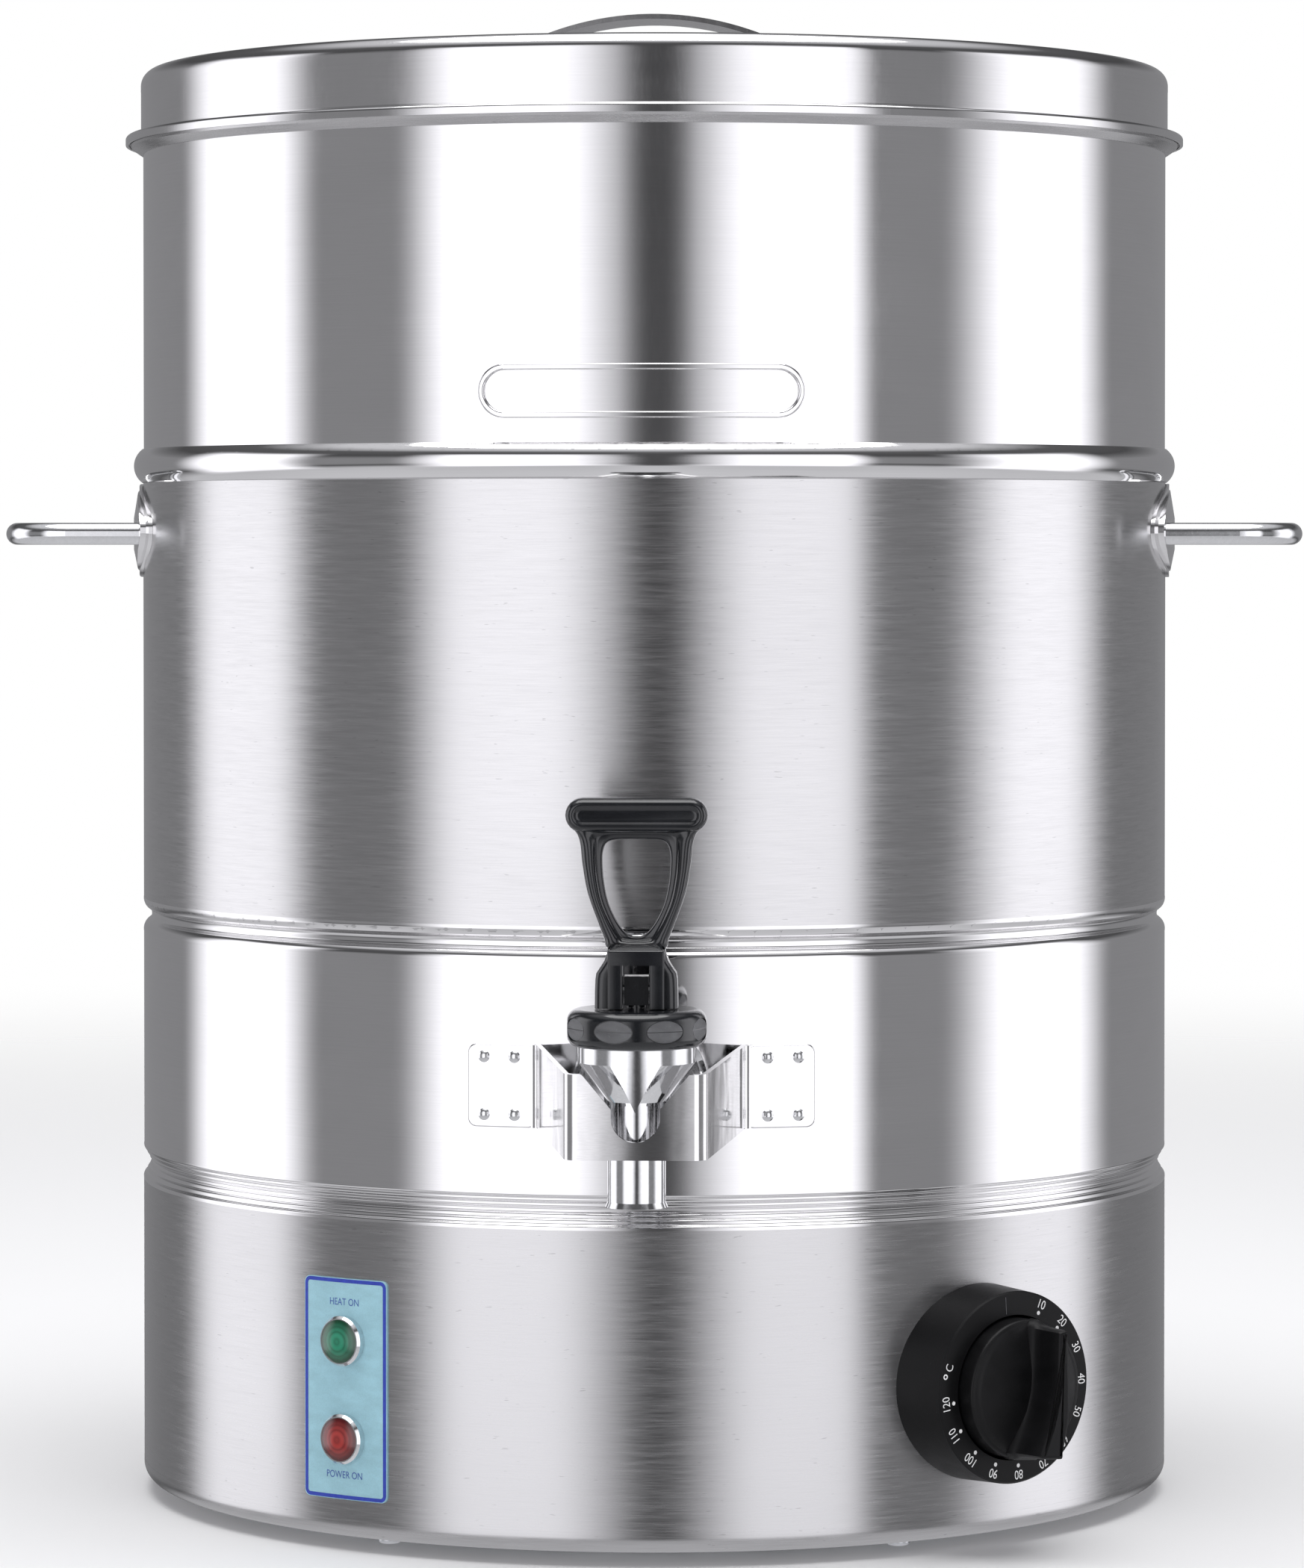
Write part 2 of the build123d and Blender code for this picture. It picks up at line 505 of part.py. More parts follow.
# Tap
def make_tap():
    axis = Plane(origin=(0, TAP_Y, BASE_Z), z_dir=(0, 0, 1))
    cone_h, band_h, band_r = 139.8, 151.2, 17.2
    flange_back, flange_face, flange_r = 168.3, 171.0, 20.0
    body = rod(axis, SPOUT_R, SPOUT_H, cone_h)
    body += rod(axis, 9.1, SPOUT_H, SPOUT_H + 1.6, SPOUT_R)
    body += rod(axis, SPOUT_R, cone_h, band_h, band_r)
    body += rod(axis, band_r, band_h, BONNET_LOW)
    tongue = make_face(Polyline((-7.6, band_h + 0.5), (7.6, band_h + 0.5), (3.0, 144.0), (0, 137.8),
                                (-3.0, 144.0), close=True))
    front = Plane(origin=(0, TAP_Y, BASE_Z), x_dir=(1, 0, 0), z_dir=(0, -1, 0))
    body += extrude(front * tongue, 20) & rod(axis, band_r, 130, band_h + 0.5)
    body += rod(TAP_SHANK, 9.5, 172, -TAP_Y)
    body += rod(TAP_SHANK, flange_r, flange_back, flange_face)
    body += rod(TAP_SHANK, flange_r, flange_face, 172.5, 18.2)
    body += rod(TAP_SHANK, SHANK_R, 136, flange_back)
    body -= rod(axis, CHAMBER_R, SEAT_H, BONNET_LOW + 1)
    body -= rod(axis, 6.2, SPOUT_H - 1, 138.0) + rod(axis, 5.0, 137.0, SEAT_H + 1)
    passage_y = TAP_Y + 11.5
    body -= rod(TAP_SHANK, 5.0, 130, -passage_y)
    body -= rod(Plane(origin=(0, passage_y, BASE_Z), z_dir=(0, 0, 1)), 3.2, SHANK_H, 148.3)
    save("tap_body", body)

    hole = rod(TAP_SHANK, SHANK_R, 100, 200)
    outer = rod(TAP_SHANK, 18.0, 160, flange_back) - wall_cut(WALL_R) - hole
    save("tap_outer_washer", outer)
    sleeve = rod(TAP_SHANK, 14.0, 145, 168) & tube(WALL_R - SHEET, TANK_R + SHEET, 120, 160)
    save("tap_wall_sleeve", sleeve - hole)
    inner = (rod(TAP_SHANK, 16.0, 145.0, 150) & wall_cut(TANK_R)) - hole
    save("tap_inner_washer", inner)
    save("tap_locknut", hexagon(TAP_SHANK, 27, 138.5, 145.0) - hole)

    bonnet = rod(axis, BONNET_R, BONNET_LOW, BONNET_TOP)
    edges = bonnet.edges().filter_by(GeomType.CIRCLE)
    bonnet = fillet(edges, 3.4)
    for k in range(THUMB_FLATS):
        a = math.radians(THUMB_AZ + 360 * k / THUMB_FLATS)
        thumb = Plane(origin=(0, TAP_Y, up((BONNET_LOW + BONNET_TOP) / 2)),
                      x_dir=(math.cos(a), math.sin(a), 0), z_dir=(math.sin(a), -math.cos(a), 0))
        bonnet -= thumb * Pos(0, 0, BONNET_R - THUMB_DEPTH) * extrude(Ellipse(5.9, 3.4), 5)
    bonnet += rod(axis, CHAMBER_R - 0.1, 152.5, BONNET_LOW)
    bonnet -= rod(axis, 9.2, 152.0, SPRING_TOP) + rod(axis, STEM_R + RUNNING, 149, 170)
    save("tap_bonnet", bonnet)

    stem_low = SEAT_H + 2.0
    cup = rod(axis, 8.8, SEAT_H + 0.2, CUP_TOP) - rod(axis, STEM_R, stem_low, CUP_TOP + 1)
    save("tap_seat_cup", cup)

    head = Pos(0, TAP_Y, up(171.9)) * Box(7.0, 7.0, 8.4)
    stem = rod(axis, STEM_R, stem_low, 168) + head
    pin_plane = Plane(origin=(0, TAP_Y, up(PIN_H)), x_dir=(0, 1, 0), z_dir=(1, 0, 0))
    stem -= rod(pin_plane, PIN_R, -10, 10)
    save("tap_plunger", stem)
    save("tap_lever_pin", rod(pin_plane, PIN_R, -9.0, 9.0))

    turns, low, high = 5, CUP_TOP + SPRING_WIRE / 2, SPRING_TOP - SPRING_WIRE / 2
    helix = Helix(pitch=(high - low) / turns, height=high - low, radius=SPRING_R)
    coil_path = Pos(0, TAP_Y, up(low)) * helix
    section = Plane(origin=coil_path @ 0, z_dir=coil_path % 0) * Circle(SPRING_WIRE / 2)
    save("tap_return_spring", sweep(section, path=coil_path))
    make_lever(pin_plane)


def make_lever(pin_plane):
    """Black lever: a block that straddles the plunger, a neck, and a tapered loop under a wide top bar."""
    low = BONNET_TOP + GAP
    neck, arm_top, bar_h = (8.45, 183.8), (16.9, 217.5), 222.6
    block_side = [(12.05, low), (11.3, 176.5), neck]

    def half_outline():
        return (
            Polyline((0, low), *block_side)
            + Spline(neck, (11.3, 194.5), (15.0, 204.3), arm_top, tangents=[(0, 1), (0, 1)])
            + Polyline(arm_top, (arm_top[0], bar_h), (0, bar_h), (0, low))
        )

    front = Plane(origin=(0, TAP_Y, BASE_Z), x_dir=(1, 0, 0), z_dir=(0, -1, 0))
    half = make_face(Wire(half_outline().edges()))
    outline = half + mirror(half, about=Plane.YZ)
    grip = Pos(0, bar_h) * SlotOverall(41.3, 10.2)
    gap_low, gap_side = 186.7, (4.7, 189.8)
    opening_line = (
        Polyline((-gap_side[0], gap_side[1]), (-9.6, 204.0), (-10.1, 212.4))
        + ThreePointArc((-10.1, 212.4), (-9.3, 214.4), (-7.3, 215.2))
        + Line((-7.3, 215.2), (7.3, 215.2))
        + ThreePointArc((7.3, 215.2), (9.3, 214.4), (10.1, 212.4))
        + Polyline((10.1, 212.4), (9.6, 204.0), gap_side)
        + ThreePointArc(gap_side, (0, gap_low), (-gap_side[0], gap_side[1]))
    )
    opening = make_face(Wire(opening_line.edges()))
    loop = extrude(front * (outline - opening), 4.0, both=True)
    other_side = [(-x, height) for x, height in reversed(block_side)]
    block_face = make_face(Polyline(*block_side, *other_side, close=True))
    block = extrude(front * block_face, 8.0, both=True)
    for side in (-1, 1):
        block -= Pos(0, TAP_Y + side * 9.0, up(neck[1])) * Rot(side * 28, 0, 0) * Box(40, 6, 16)
    lever = loop + block + extrude(front * grip, 5.1, both=True)
    slot_h = 179.0
    lever -= Pos(0, TAP_Y, up((low + slot_h) / 2)) * Box(7.8, 40, slot_h - low + 0.01)
    lever -= rod(pin_plane, PIN_R + RUNNING, -30, 30)
    save("tap_lever", lever)


def corner_fill(corner_point, first, second, radius):
    """The face that rounds an inner corner between two unit directions, with a little overlap behind it."""
    half = math.acos(first.dot(second)) / 2
    middle = (first + second).normalized()
    a = corner_point + first * (radius / math.tan(half))
    b = corner_point + second * (radius / math.tan(half))
    arc_middle = corner_point + middle * (radius / math.sin(half) - radius)
    return make_face(Polyline(b, corner_point - middle * 0.6, a) + ThreePointArc(a, arc_middle, b))


def make_guard():
    """Bent strip in front of the tap, with a notch, and a curved tab on each side."""
    front_x, front_y, end_x, end_y = 20.3, -223.0, 33.5, -150.0
    wall_y, tab_x, tab_mid_h = -163.0, 30.9, 139.5
    points = [(end_x, end_y), (front_x, front_y), (-front_x, front_y), (-end_x, end_y)]
    outer_line = FilletPolyline(*points, radius=4.0)
    strip_face = make_face(Wire(outer_line.edges()).offset_2d(GUARD_SHEET, Kind.ARC, Side.RIGHT))
    strip = Pos(0, 0, up(105)) * extrude(strip_face, 60)
    drop = 3.4
    tilt = math.degrees(math.atan2(drop, wall_y - front_y))
    mid_y, mid_h = (front_y + wall_y) / 2, tab_mid_h - drop / 2
    slab = Pos(0, mid_y, up(mid_h)) * Rot(tilt, 0, 0) * Box(120, 200, GUARD_W)
    strip = (strip & slab) - wall_cut(WALL_R)
    low = 123.8
    notch_line = (
        Polyline((-7.1, low + 12.2), (-7.1, low + 14.6), (-15.6, low + GUARD_W), (-15.6, low + 40),
                 (15.6, low + 40), (15.6, low + GUARD_W), (7.1, low + 14.6), (7.1, low + 12.2))
        + ThreePointArc((7.1, low + 12.2), (0, low + 5.1), (-7.1, low + 12.2))
    )
    front = Plane(origin=(0, front_y + 6, BASE_Z), x_dir=(1, 0, 0), z_dir=(0, -1, 0))
    strip -= extrude(front * make_face(Wire(notch_line.edges())), 10)
    ring = tube(WALL_R + GUARD_SHEET, WALL_R, 120, 160)
    tab_w = 20.9
    tab_face = RectangleRounded(tab_w, GUARD_W + 0.1, 2.6)
    front_plane = Plane(origin=(0, 0, BASE_Z), x_dir=(1, 0, 0), z_dir=(0, -1, 0))
    guard = strip
    for side in (-1, 1):
        tab = ring & extrude(front_plane * Pos(side * (tab_x + tab_w / 2), tab_mid_h) * tab_face, 200)
        guard += fillet(tab.edges().filter_by(at_or_beyond(WALL_R + GUARD_SHEET)), 0.45)
    wing = (Vector(front_x, front_y) - Vector(end_x, end_y)).normalized()
    bend_corner = Vector(31.0, -163.8)
    along_tab = Vector(-bend_corner.Y, bend_corner.X).normalized()
    fill_face = corner_fill(bend_corner, along_tab, wing, 2.6)
    fill = Pos(0, 0, up(tab_mid_h - GUARD_W / 2)) * extrude(fill_face, GUARD_W)
    guard += fill + mirror(fill, about=Plane.YZ)
    rivets = []
    for plane in guard_rivet_planes():
        guard -= rod(plane, GUARD_RIVET_R, -5, 10)
        rivets.append(rivet(plane, GUARD_RIVET_R, -SHEET - 0.05, GUARD_SHEET))
    save("tap_guard", guard)
    save("tap_guard_rivets", *rivets)


# Side handles
def make_side_handles():
    names = {-1: "left", 1: "right"}
    plate_h, plate_half, boss_half = 305.1, 15.1, 5.0
    profile = chain((WALL_R, plate_h - plate_half), (WALL_R + PLATE_EDGE, plate_h - plate_half),
                    (WALL_R + PLATE_BOSS, HANDLE_H - boss_half), (WALL_R + PLATE_BOSS, HANDLE_H + boss_half),
                    (WALL_R + PLATE_EDGE, plate_h + plate_half), (WALL_R, plate_h + plate_half),
                    (WALL_R, plate_h - plate_half))
    nuts = []
    for side, name in names.items():
        plane = on_wall(90 * side, 0, 0)
        look = Plane(origin=(0, 0, BASE_Z), x_dir=plane.x_dir, z_dir=plane.z_dir)
        oval = Pos(0, plate_h) * Ellipse(49.0, plate_half)
        dish = Pos(0, plate_h) * Ellipse(44.0, plate_half - 2.0)
        plate = tube(WALL_R + PLATE_EDGE, WALL_R, 280, 330) & extrude(look * oval, 200)
        plate += spin(make_face(profile)) & extrude(look * dish, 200)
        for wire_side, arm in handle_arms():
            if wire_side == side:
                plate -= rod(arm, WIRE_R, 150, 180)
                nuts.append(hexagon(arm, 11.5, 153.5, 157.6) - rod(arm, WIRE_R, 150, 180))
        save(f"{name}_handle_plate", plate)
        z = up(HANDLE_H)
        inner = 152.5 * side
        tip = HANDLE_REACH * side
        path = FilletPolyline((inner, -HANDLE_ARM, z), (tip, -HANDLE_ARM, z), (tip, HANDLE_ARM, z),
                              (inner, HANDLE_ARM, z), radius=18.0)
        section = Plane(origin=(inner, -HANDLE_ARM, z), z_dir=(side, 0, 0)) * Circle(WIRE_R)
        save(f"{name}_handle_wire", sweep(section, path=path))
    save("side_handle_nuts", *nuts)


# Lid
def make_lid():
    bend = 5.0
    wall_r = 165.7
    flange_h = 431.6
    lip_r = 170.6
    top_mid = quarter((wall_r - bend, LID_TOP - bend), bend, 0)
    line = (
        chain((0, LID_TOP), (wall_r - bend, LID_TOP))
        + corner((wall_r - bend, LID_TOP), top_mid, (wall_r, LID_TOP - bend))
        + chain((wall_r, LID_TOP - bend), (wall_r, flange_h), (lip_r - 1.1, flange_h))
        + corner((lip_r - 1.1, flange_h), (lip_r - 0.32, flange_h - 0.32), (lip_r, flange_h - 1.1))
        + chain((lip_r, flange_h - 1.1), (lip_r, 428.7))
    )
    shell = sheet_ring(line, LID_SHEET, Side.RIGHT)
    pan_r, pan_low, pan_bend = TANK_R - 1.0, 424.0, 6.0
    pan_mid = quarter((pan_r - pan_bend, pan_low + pan_bend), pan_bend, -90)
    pan_line = (
        chain((0, pan_low), (pan_r - pan_bend, pan_low))
        + corner((pan_r - pan_bend, pan_low), pan_mid, (pan_r, pan_low + pan_bend))
        + chain((pan_r, pan_low + pan_bend), (pan_r, flange_h), (wall_r - LID_SHEET, flange_h))
    )
    pan = sheet_ring(pan_line, 0.8, Side.LEFT)

    arch_r, half_span, strap, wide = 97.0, 54.0, 1.6, 26.0
    crown = LID_TOP + 18.5
    centre_h = crown - arch_r
    foot_end = 70.0

    def arch_points(radius):
        reach = math.asin(half_span / arch_r)
        return [(radius * math.sin(a), centre_h + radius * math.cos(a)) for a in (-reach, 0, reach)]

    top, under = arch_points(arch_r), arch_points(arch_r - strap)
    low, high = LID_TOP, LID_TOP + strap
    outline = (
        Polyline((-foot_end, low), (-foot_end, high), (top[0][0] - 2, high), top[0])
        + ThreePointArc(*top)
        + Polyline(top[2], (top[2][0] + 2, high), (foot_end, high), (foot_end, low),
                   (under[2][0] + 1.2, low), under[2])
        + ThreePointArc(under[2], under[1], under[0])
        + Polyline(under[0], (under[0][0] - 1.2, low), (-foot_end, low))
    )
    side_view = Plane(origin=(0, 0, BASE_Z), x_dir=(1, 0, 0), z_dir=(0, -1, 0))
    handle = extrude(side_view * make_face(Wire(outline.edges())), wide / 2, both=True)
    handle = fillet(handle.edges().filter_by(Axis.Z).sort_by(Axis.X)[:2]
                    + handle.edges().filter_by(Axis.Z).sort_by(Axis.X)[-2:], 5.0)
    rivets = []
    for x in (-63.5, 63.5):
        for y in (-7, 7):
            plane = Plane(origin=(x, y, up(LID_TOP)), z_dir=(0, 0, 1))
            handle -= rod(plane, LID_RIVET_R, -5, 5)
            shell -= rod(plane, LID_RIVET_R, -5, 5)
            rivets.append(rivet(plane, LID_RIVET_R, -LID_SHEET, strap))
    save("lid_shell", shell)
    save("lid_inner_pan", pan)
    save("lid_handle", handle)
    save("lid_handle_rivets", *rivets)


# Wires between the electrical parts
def make_wires():
    wire_r = 1.3
    terminal_h, leg_h = PLATE_H + TERMINAL_TALL, 84
    routes = [
        [(-14, TERMINAL_Y, terminal_h), (-14, TERMINAL_Y, 34), (-60, 70, 34), (-64, -20, 60),
         (-64, -20, 90)],
        [(0, TERMINAL_Y, terminal_h), (0, TERMINAL_Y, 40), (60, 40, 40), (60, -62, 47)],
        [(14, TERMINAL_Y, terminal_h), (14, TERMINAL_Y, 30), (ELEMENT_LEG, ELEMENT_Y, 50),
         (ELEMENT_LEG, ELEMENT_Y, leg_h)],
        [(-56, -20, 90), (-56, -20, 70), (-ELEMENT_LEG, ELEMENT_Y, 60), (-ELEMENT_LEG, ELEMENT_Y, leg_h)],
    ]
    wires = []
    for route in routes:
        points = [(x, y, up(h)) for x, y, h in route]
        start, follow = Vector(*points[0]), Vector(*points[1])
        path = FilletPolyline(*points, radius=8)
        section = Plane(origin=start, z_dir=(follow - start).normalized()) * Circle(wire_r)
        wires.append(sweep(section, path=path))
    save("internal_wires", *wires)


os.makedirs("parts", exist_ok=True)
make_walls()
make_tank()
make_element()
make_base()
make_gland()
make_thermostat()
make_panel()
make_tap()
make_guard()
make_side_handles()
make_lid()
make_wires()
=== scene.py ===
import math

import bmesh
import bpy
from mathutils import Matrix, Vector


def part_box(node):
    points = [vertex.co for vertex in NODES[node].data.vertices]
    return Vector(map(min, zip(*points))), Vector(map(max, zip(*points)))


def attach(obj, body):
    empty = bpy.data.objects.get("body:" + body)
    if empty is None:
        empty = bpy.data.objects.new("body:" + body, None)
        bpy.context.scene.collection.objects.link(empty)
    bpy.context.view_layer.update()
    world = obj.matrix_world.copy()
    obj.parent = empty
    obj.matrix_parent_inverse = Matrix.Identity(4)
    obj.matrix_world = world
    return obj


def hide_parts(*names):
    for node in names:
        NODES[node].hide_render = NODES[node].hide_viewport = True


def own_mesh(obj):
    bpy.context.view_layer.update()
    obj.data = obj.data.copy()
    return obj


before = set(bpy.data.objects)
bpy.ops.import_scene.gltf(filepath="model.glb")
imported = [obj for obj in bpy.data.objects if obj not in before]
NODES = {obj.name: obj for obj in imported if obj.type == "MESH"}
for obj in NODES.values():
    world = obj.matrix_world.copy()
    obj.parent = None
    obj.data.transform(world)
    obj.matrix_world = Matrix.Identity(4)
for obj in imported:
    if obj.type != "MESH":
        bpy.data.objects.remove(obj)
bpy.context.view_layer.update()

# The shapes made here are in millimetres, and MM turns those into the scene's metres.
# Their heights run from the skirt's bottom edge.
MM = 0.001
BASE_Z = 4.0  # the skirt's bottom edge above the floor
SKIRT_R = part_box("base_skirt")[1].x / MM
TAP_Y = -210.0  # vertical axis of the tap
DIAL = (37.9, 47.3, SKIRT_R)  # azimuth from the front towards +X, height, and radius of the wall there
LABEL = (-33.0, 45.5, SKIRT_R + 0.6)  # the same for the outer face of the label's film
CORNERS = ((1, 1, 0), (-1, 1, 90), (-1, -1, 180), (1, -1, 270))  # side in x, side in y, first angle


# ---------------------------------------------------------------- shader building
class Shader:
    """One Principled material, with short calls for the nodes that vary it."""

    def __init__(self, name, colour, roughness, metallic=0.0, **fixed):
        self.material = bpy.data.materials.new(name)
        self.material.use_nodes = True
        self.tree = self.material.node_tree
        self.bsdf = self.tree.nodes["Principled BSDF"]
        self.colour, self.roughness = colour, roughness
        self.set("Base Color", (*colour, 1.0))
        self.set("Roughness", roughness)
        self.set("Metallic", metallic)
        for socket, value in fixed.items():
            self.set(socket.replace("_", " "), value)
        self.position = self.node("ShaderNodeTexCoord").outputs["Object"]

    def set(self, socket, value):
        self.bsdf.inputs[socket].default_value = value

    def node(self, kind, **settings):
        made = self.tree.nodes.new(kind)
        for key, value in settings.items():
            setattr(made, key, value)
        return made

    def link(self, source, target):
        self.tree.links.new(source, target)

    def feed(self, socket, value):
        if isinstance(value, bpy.types.NodeSocket):
            self.link(value, socket)
        else:
            socket.default_value = value

    def math(self, operation, a, b=0.0, c=0.0):
        made = self.node("ShaderNodeMath", operation=operation)
        for k, value in enumerate((a, b, c)):
            self.feed(made.inputs[k], value)
        return made.outputs[0]

    def weigh(self, a, share_a, b, share_b):
        """Sum of two values, each times its share."""
        return self.math("MULTIPLY_ADD", a, share_a, self.math("MULTIPLY", b, share_b))

    def noise(self, stretch, detail=3.0, roughness=0.5, distortion=0.0):
        """Noise whose features are one unit over the stretch, along each axis."""
        place = self.node("ShaderNodeMapping")
        place.inputs["Scale"].default_value = stretch
        self.link(self.position, place.inputs["Vector"])
        made = self.node("ShaderNodeTexNoise")
        made.inputs["Scale"].default_value = 1.0
        made.inputs["Detail"].default_value = detail
        made.inputs["Roughness"].default_value = roughness
        made.inputs["Distortion"].default_value = distortion
        self.link(place.outputs[0], made.inputs["Vector"])
        return made.outputs[0]

    def spread(self, value, low, high, start=0.3, end=0.7):
        """Maps a value from start..end to low..high."""
        made = self.node("ShaderNodeMapRange")
        for socket, item in zip(made.inputs[:5], (value, start, end, low, high)):
            self.feed(socket, item)
        return made.outputs[0]

    def tones(self, value, dark, light):
        """Colour between two tones of the material's own colour."""
        made = self.node("ShaderNodeMix", data_type="RGBA")
        self.feed(made.inputs["Factor"], value)
        self.feed(made.inputs["A"], self.as_colour(dark))
        self.feed(made.inputs["B"], self.as_colour(light))
        return made.outputs["Result"]

    def as_colour(self, tone):
        if isinstance(tone, bpy.types.NodeSocket):
            return tone
        if isinstance(tone, tuple):
            return (*tone, 1.0)
        return (*[min(1.0, c * tone) for c in self.colour], 1.0)

    def vector(self, operation, a, b=(0.0, 0.0, 0.0), output="Vector"):
        made = self.node("ShaderNodeVectorMath", operation=operation)
        self.feed(made.inputs[0], a)
        self.feed(made.inputs["Scale" if operation == "SCALE" else 1], b)
        return made.outputs[output]

    def turned_normal(self, below=None):
        """The normal with its slope kept and its direction set straight away from the vessel's axis.

        It evens out sheet turned about that axis. Faces that look elsewhere keep their own normal,
        and so does everything above the height.
        """
        own = self.node("ShaderNodeTexCoord").outputs["Normal"]
        away = self.vector("NORMALIZE", self.vector("MULTIPLY", self.position, (1.0, 1.0, 0.0)))
        level = self.vector("MULTIPLY", own, (1.0, 1.0, 0.0))
        length = self.vector("LENGTH", level, output="Value")
        along = self.vector("DOT_PRODUCT", level, away, "Value")
        kept = self.vector("SCALE", away, self.math("MULTIPLY", self.math("SIGN", along), length))
        even = self.vector("ADD", kept, self.vector("MULTIPLY", own, (0.0, 0.0, 1.0)))
        trust = self.spread(self.math("DIVIDE", self.math("ABSOLUTE", along), length), 0.0, 1.0, 0.94, 0.97)
        if below is not None:
            height = self.vector("DOT_PRODUCT", self.position, (0.0, 0.0, 1.0), "Value")
            trust = self.math("MULTIPLY", trust, self.math("LESS_THAN", height, below))
        mixed = self.node("ShaderNodeMix", data_type="VECTOR")
        self.feed(mixed.inputs["Factor"], trust)
        vectors = [socket for socket in mixed.inputs if socket.type == "VECTOR" and socket.name in "AB"]
        self.link(own, vectors[0])
        self.link(even, vectors[1])
        to_world = self.node("ShaderNodeVectorTransform", vector_type="NORMAL")
        to_world.convert_from = "OBJECT"
        to_world.convert_to = "WORLD"
        self.link([o for o in mixed.outputs if o.type == "VECTOR"][0], to_world.inputs[0])
        return self.vector("NORMALIZE", to_world.outputs[0])

    def bump(self, *layers, normal=None):
        """Stacks (height, depth in metres) layers of relief on a normal, or on the surface's own."""
        for height, depth in layers:
            made = self.node("ShaderNodeBump")
            made.inputs["Distance"].default_value = depth
            self.link(height, made.inputs["Height"])
            if normal is not None:
                self.link(normal, made.inputs["Normal"])
            normal = made.outputs[0]
        self.link(normal, self.bsdf.inputs["Normal"])

    def paint(self, colour=None, roughness=None):
        if colour is not None:
            self.link(colour, self.bsdf.inputs["Base Color"])
        if roughness is not None:
            self.link(roughness, self.bsdf.inputs["Roughness"])


STEEL = (0.80, 0.795, 0.80)
CHROME = (0.80, 0.805, 0.815)
BRUSHED = 0.74


def brushed_steel(name, tone=1.0, roughness=0.2, bright_from=None):
    """Sheet brushed round the vessel: fine horizontal grain, with highlights drawn up and down.

    Above the height bright_from the sheet is left polished.
    """
    colour = tuple(c * BRUSHED * tone for c in STEEL)
    s = Shader(name, colour, roughness, 1.0, Anisotropic=0.75, Anisotropic_Rotation=0.25)
    tangent = s.node("ShaderNodeTangent", direction_type="RADIAL", axis="Z")
    s.link(tangent.outputs[0], s.bsdf.inputs["Tangent"])
    fine = s.noise((110, 110, 3200), 2.0, 0.6)
    coarse = s.noise((45, 45, 900), 3.0, 0.6)
    cloud = s.noise((9, 9, 14), 2.0)
    grain = s.weigh(coarse, 0.5, fine, 0.5)
    shade = s.weigh(cloud, 0.2, grain, 0.8)
    marks = s.spread(s.noise((260, 260, 1500), 1.0), 0.0, 1.0, 0.74, 0.78)
    toned = s.tones(s.spread(shade, 0.0, 1.0, 0.35, 0.65), 0.9, 1.07)
    rough = s.spread(grain, roughness * 0.8, roughness * 1.35)
    toned = s.tones(marks, toned, 0.8)
    if bright_from is not None:
        split = s.node("ShaderNodeSeparateXYZ")
        s.link(s.position, split.inputs[0])
        edge = 0.3 * MM
        polished = s.spread(split.outputs["Z"], 0.0, 1.0, bright_from - edge, bright_from + edge)
        rough = s.math("MULTIPLY_ADD", polished, s.math("SUBTRACT", 0.06, rough), rough)
        toned = s.tones(polished, toned, 1.0 / BRUSHED)
    s.paint(toned, rough)
    s.bump((s.noise((14, 14, 10), 1.0), 6e-5), (grain, 5e-6), normal=s.turned_normal())
    return s.material


def polished_steel(name, tone=1.0, roughness=0.05, wave=8e-5, even_below=None):
    """Mirror polished sheet, with slow waves, hair scratches and faint wiping marks.

    Its shading is evened out, as sheet turned about the vessel's axis, below the height even_below.
    """
    colour = tuple(c * tone for c in STEEL)
    s = Shader(name, colour, roughness, 1.0)
    hair = s.noise((35, 35, 2600), 2.0, 0.7)
    slant = s.noise((900, 500, 160), 2.0, 0.6, 0.6)
    wipe = s.noise((16, 16, 30), 3.0, 0.6, 0.8)
    shade = s.weigh(wipe, 0.5, hair, 0.5)
    haze = s.weigh(slant, 0.4, wipe, 0.6)
    s.paint(s.tones(s.spread(shade, 0.0, 1.0), 0.965, 1.025),
            s.spread(haze, roughness * 0.6, roughness * 2.0))
    s.bump((s.noise((15, 15, 20), 1.0), wave), (hair, 5e-7),
           normal=None if even_below is None else s.turned_normal(even_below))
    return s.material


def guard_steel(name):
    """Polished strip whose front is a little bowed and dented from bending."""
    s = Shader(name, tuple(c * 0.97 for c in STEEL), 0.08, 1.0)
    split = s.node("ShaderNodeSeparateXYZ")
    s.link(s.position, split.inputs[0])
    half_front, bow_per_metre = 19 * MM, -3.6
    across = s.math("MINIMUM", s.math("ABSOLUTE", split.outputs["X"]), half_front)
    bow = s.math("MULTIPLY", s.math("MULTIPLY", across, across), bow_per_metre)
    hair = s.noise((400, 400, 3000), 2.0, 0.7)
    dents = s.noise((90, 90, 60), 1.0, 0.5, 0.4)
    s.paint(s.tones(s.spread(hair, 0.0, 1.0), 0.95, 1.03), s.spread(dents, 0.05, 0.14))
    s.bump((bow, 1.0), (dents, 1.1e-4), (hair, 5e-7))
    return s.material


def chrome(name, tone=1.0, roughness=0.06, ripple=2.5e-5):
    """Plated or polished small part: bright, with a soft ripple and fine wear marks."""
    colour = tuple(c * tone for c in CHROME)
    s = Shader(name, colour, roughness, 1.0)
    ripple_noise = s.noise((130, 130, 130), 2.0)
    wear = s.noise((700, 700, 700), 3.0, 0.7, 1.0)
    s.paint(s.tones(s.spread(wear, 0.0, 1.0), 0.93, 1.04),
            s.spread(wear, roughness * 0.6, roughness * 2.2))
    s.bump((ripple_noise, ripple), (wear, 8e-7))
    return s.material


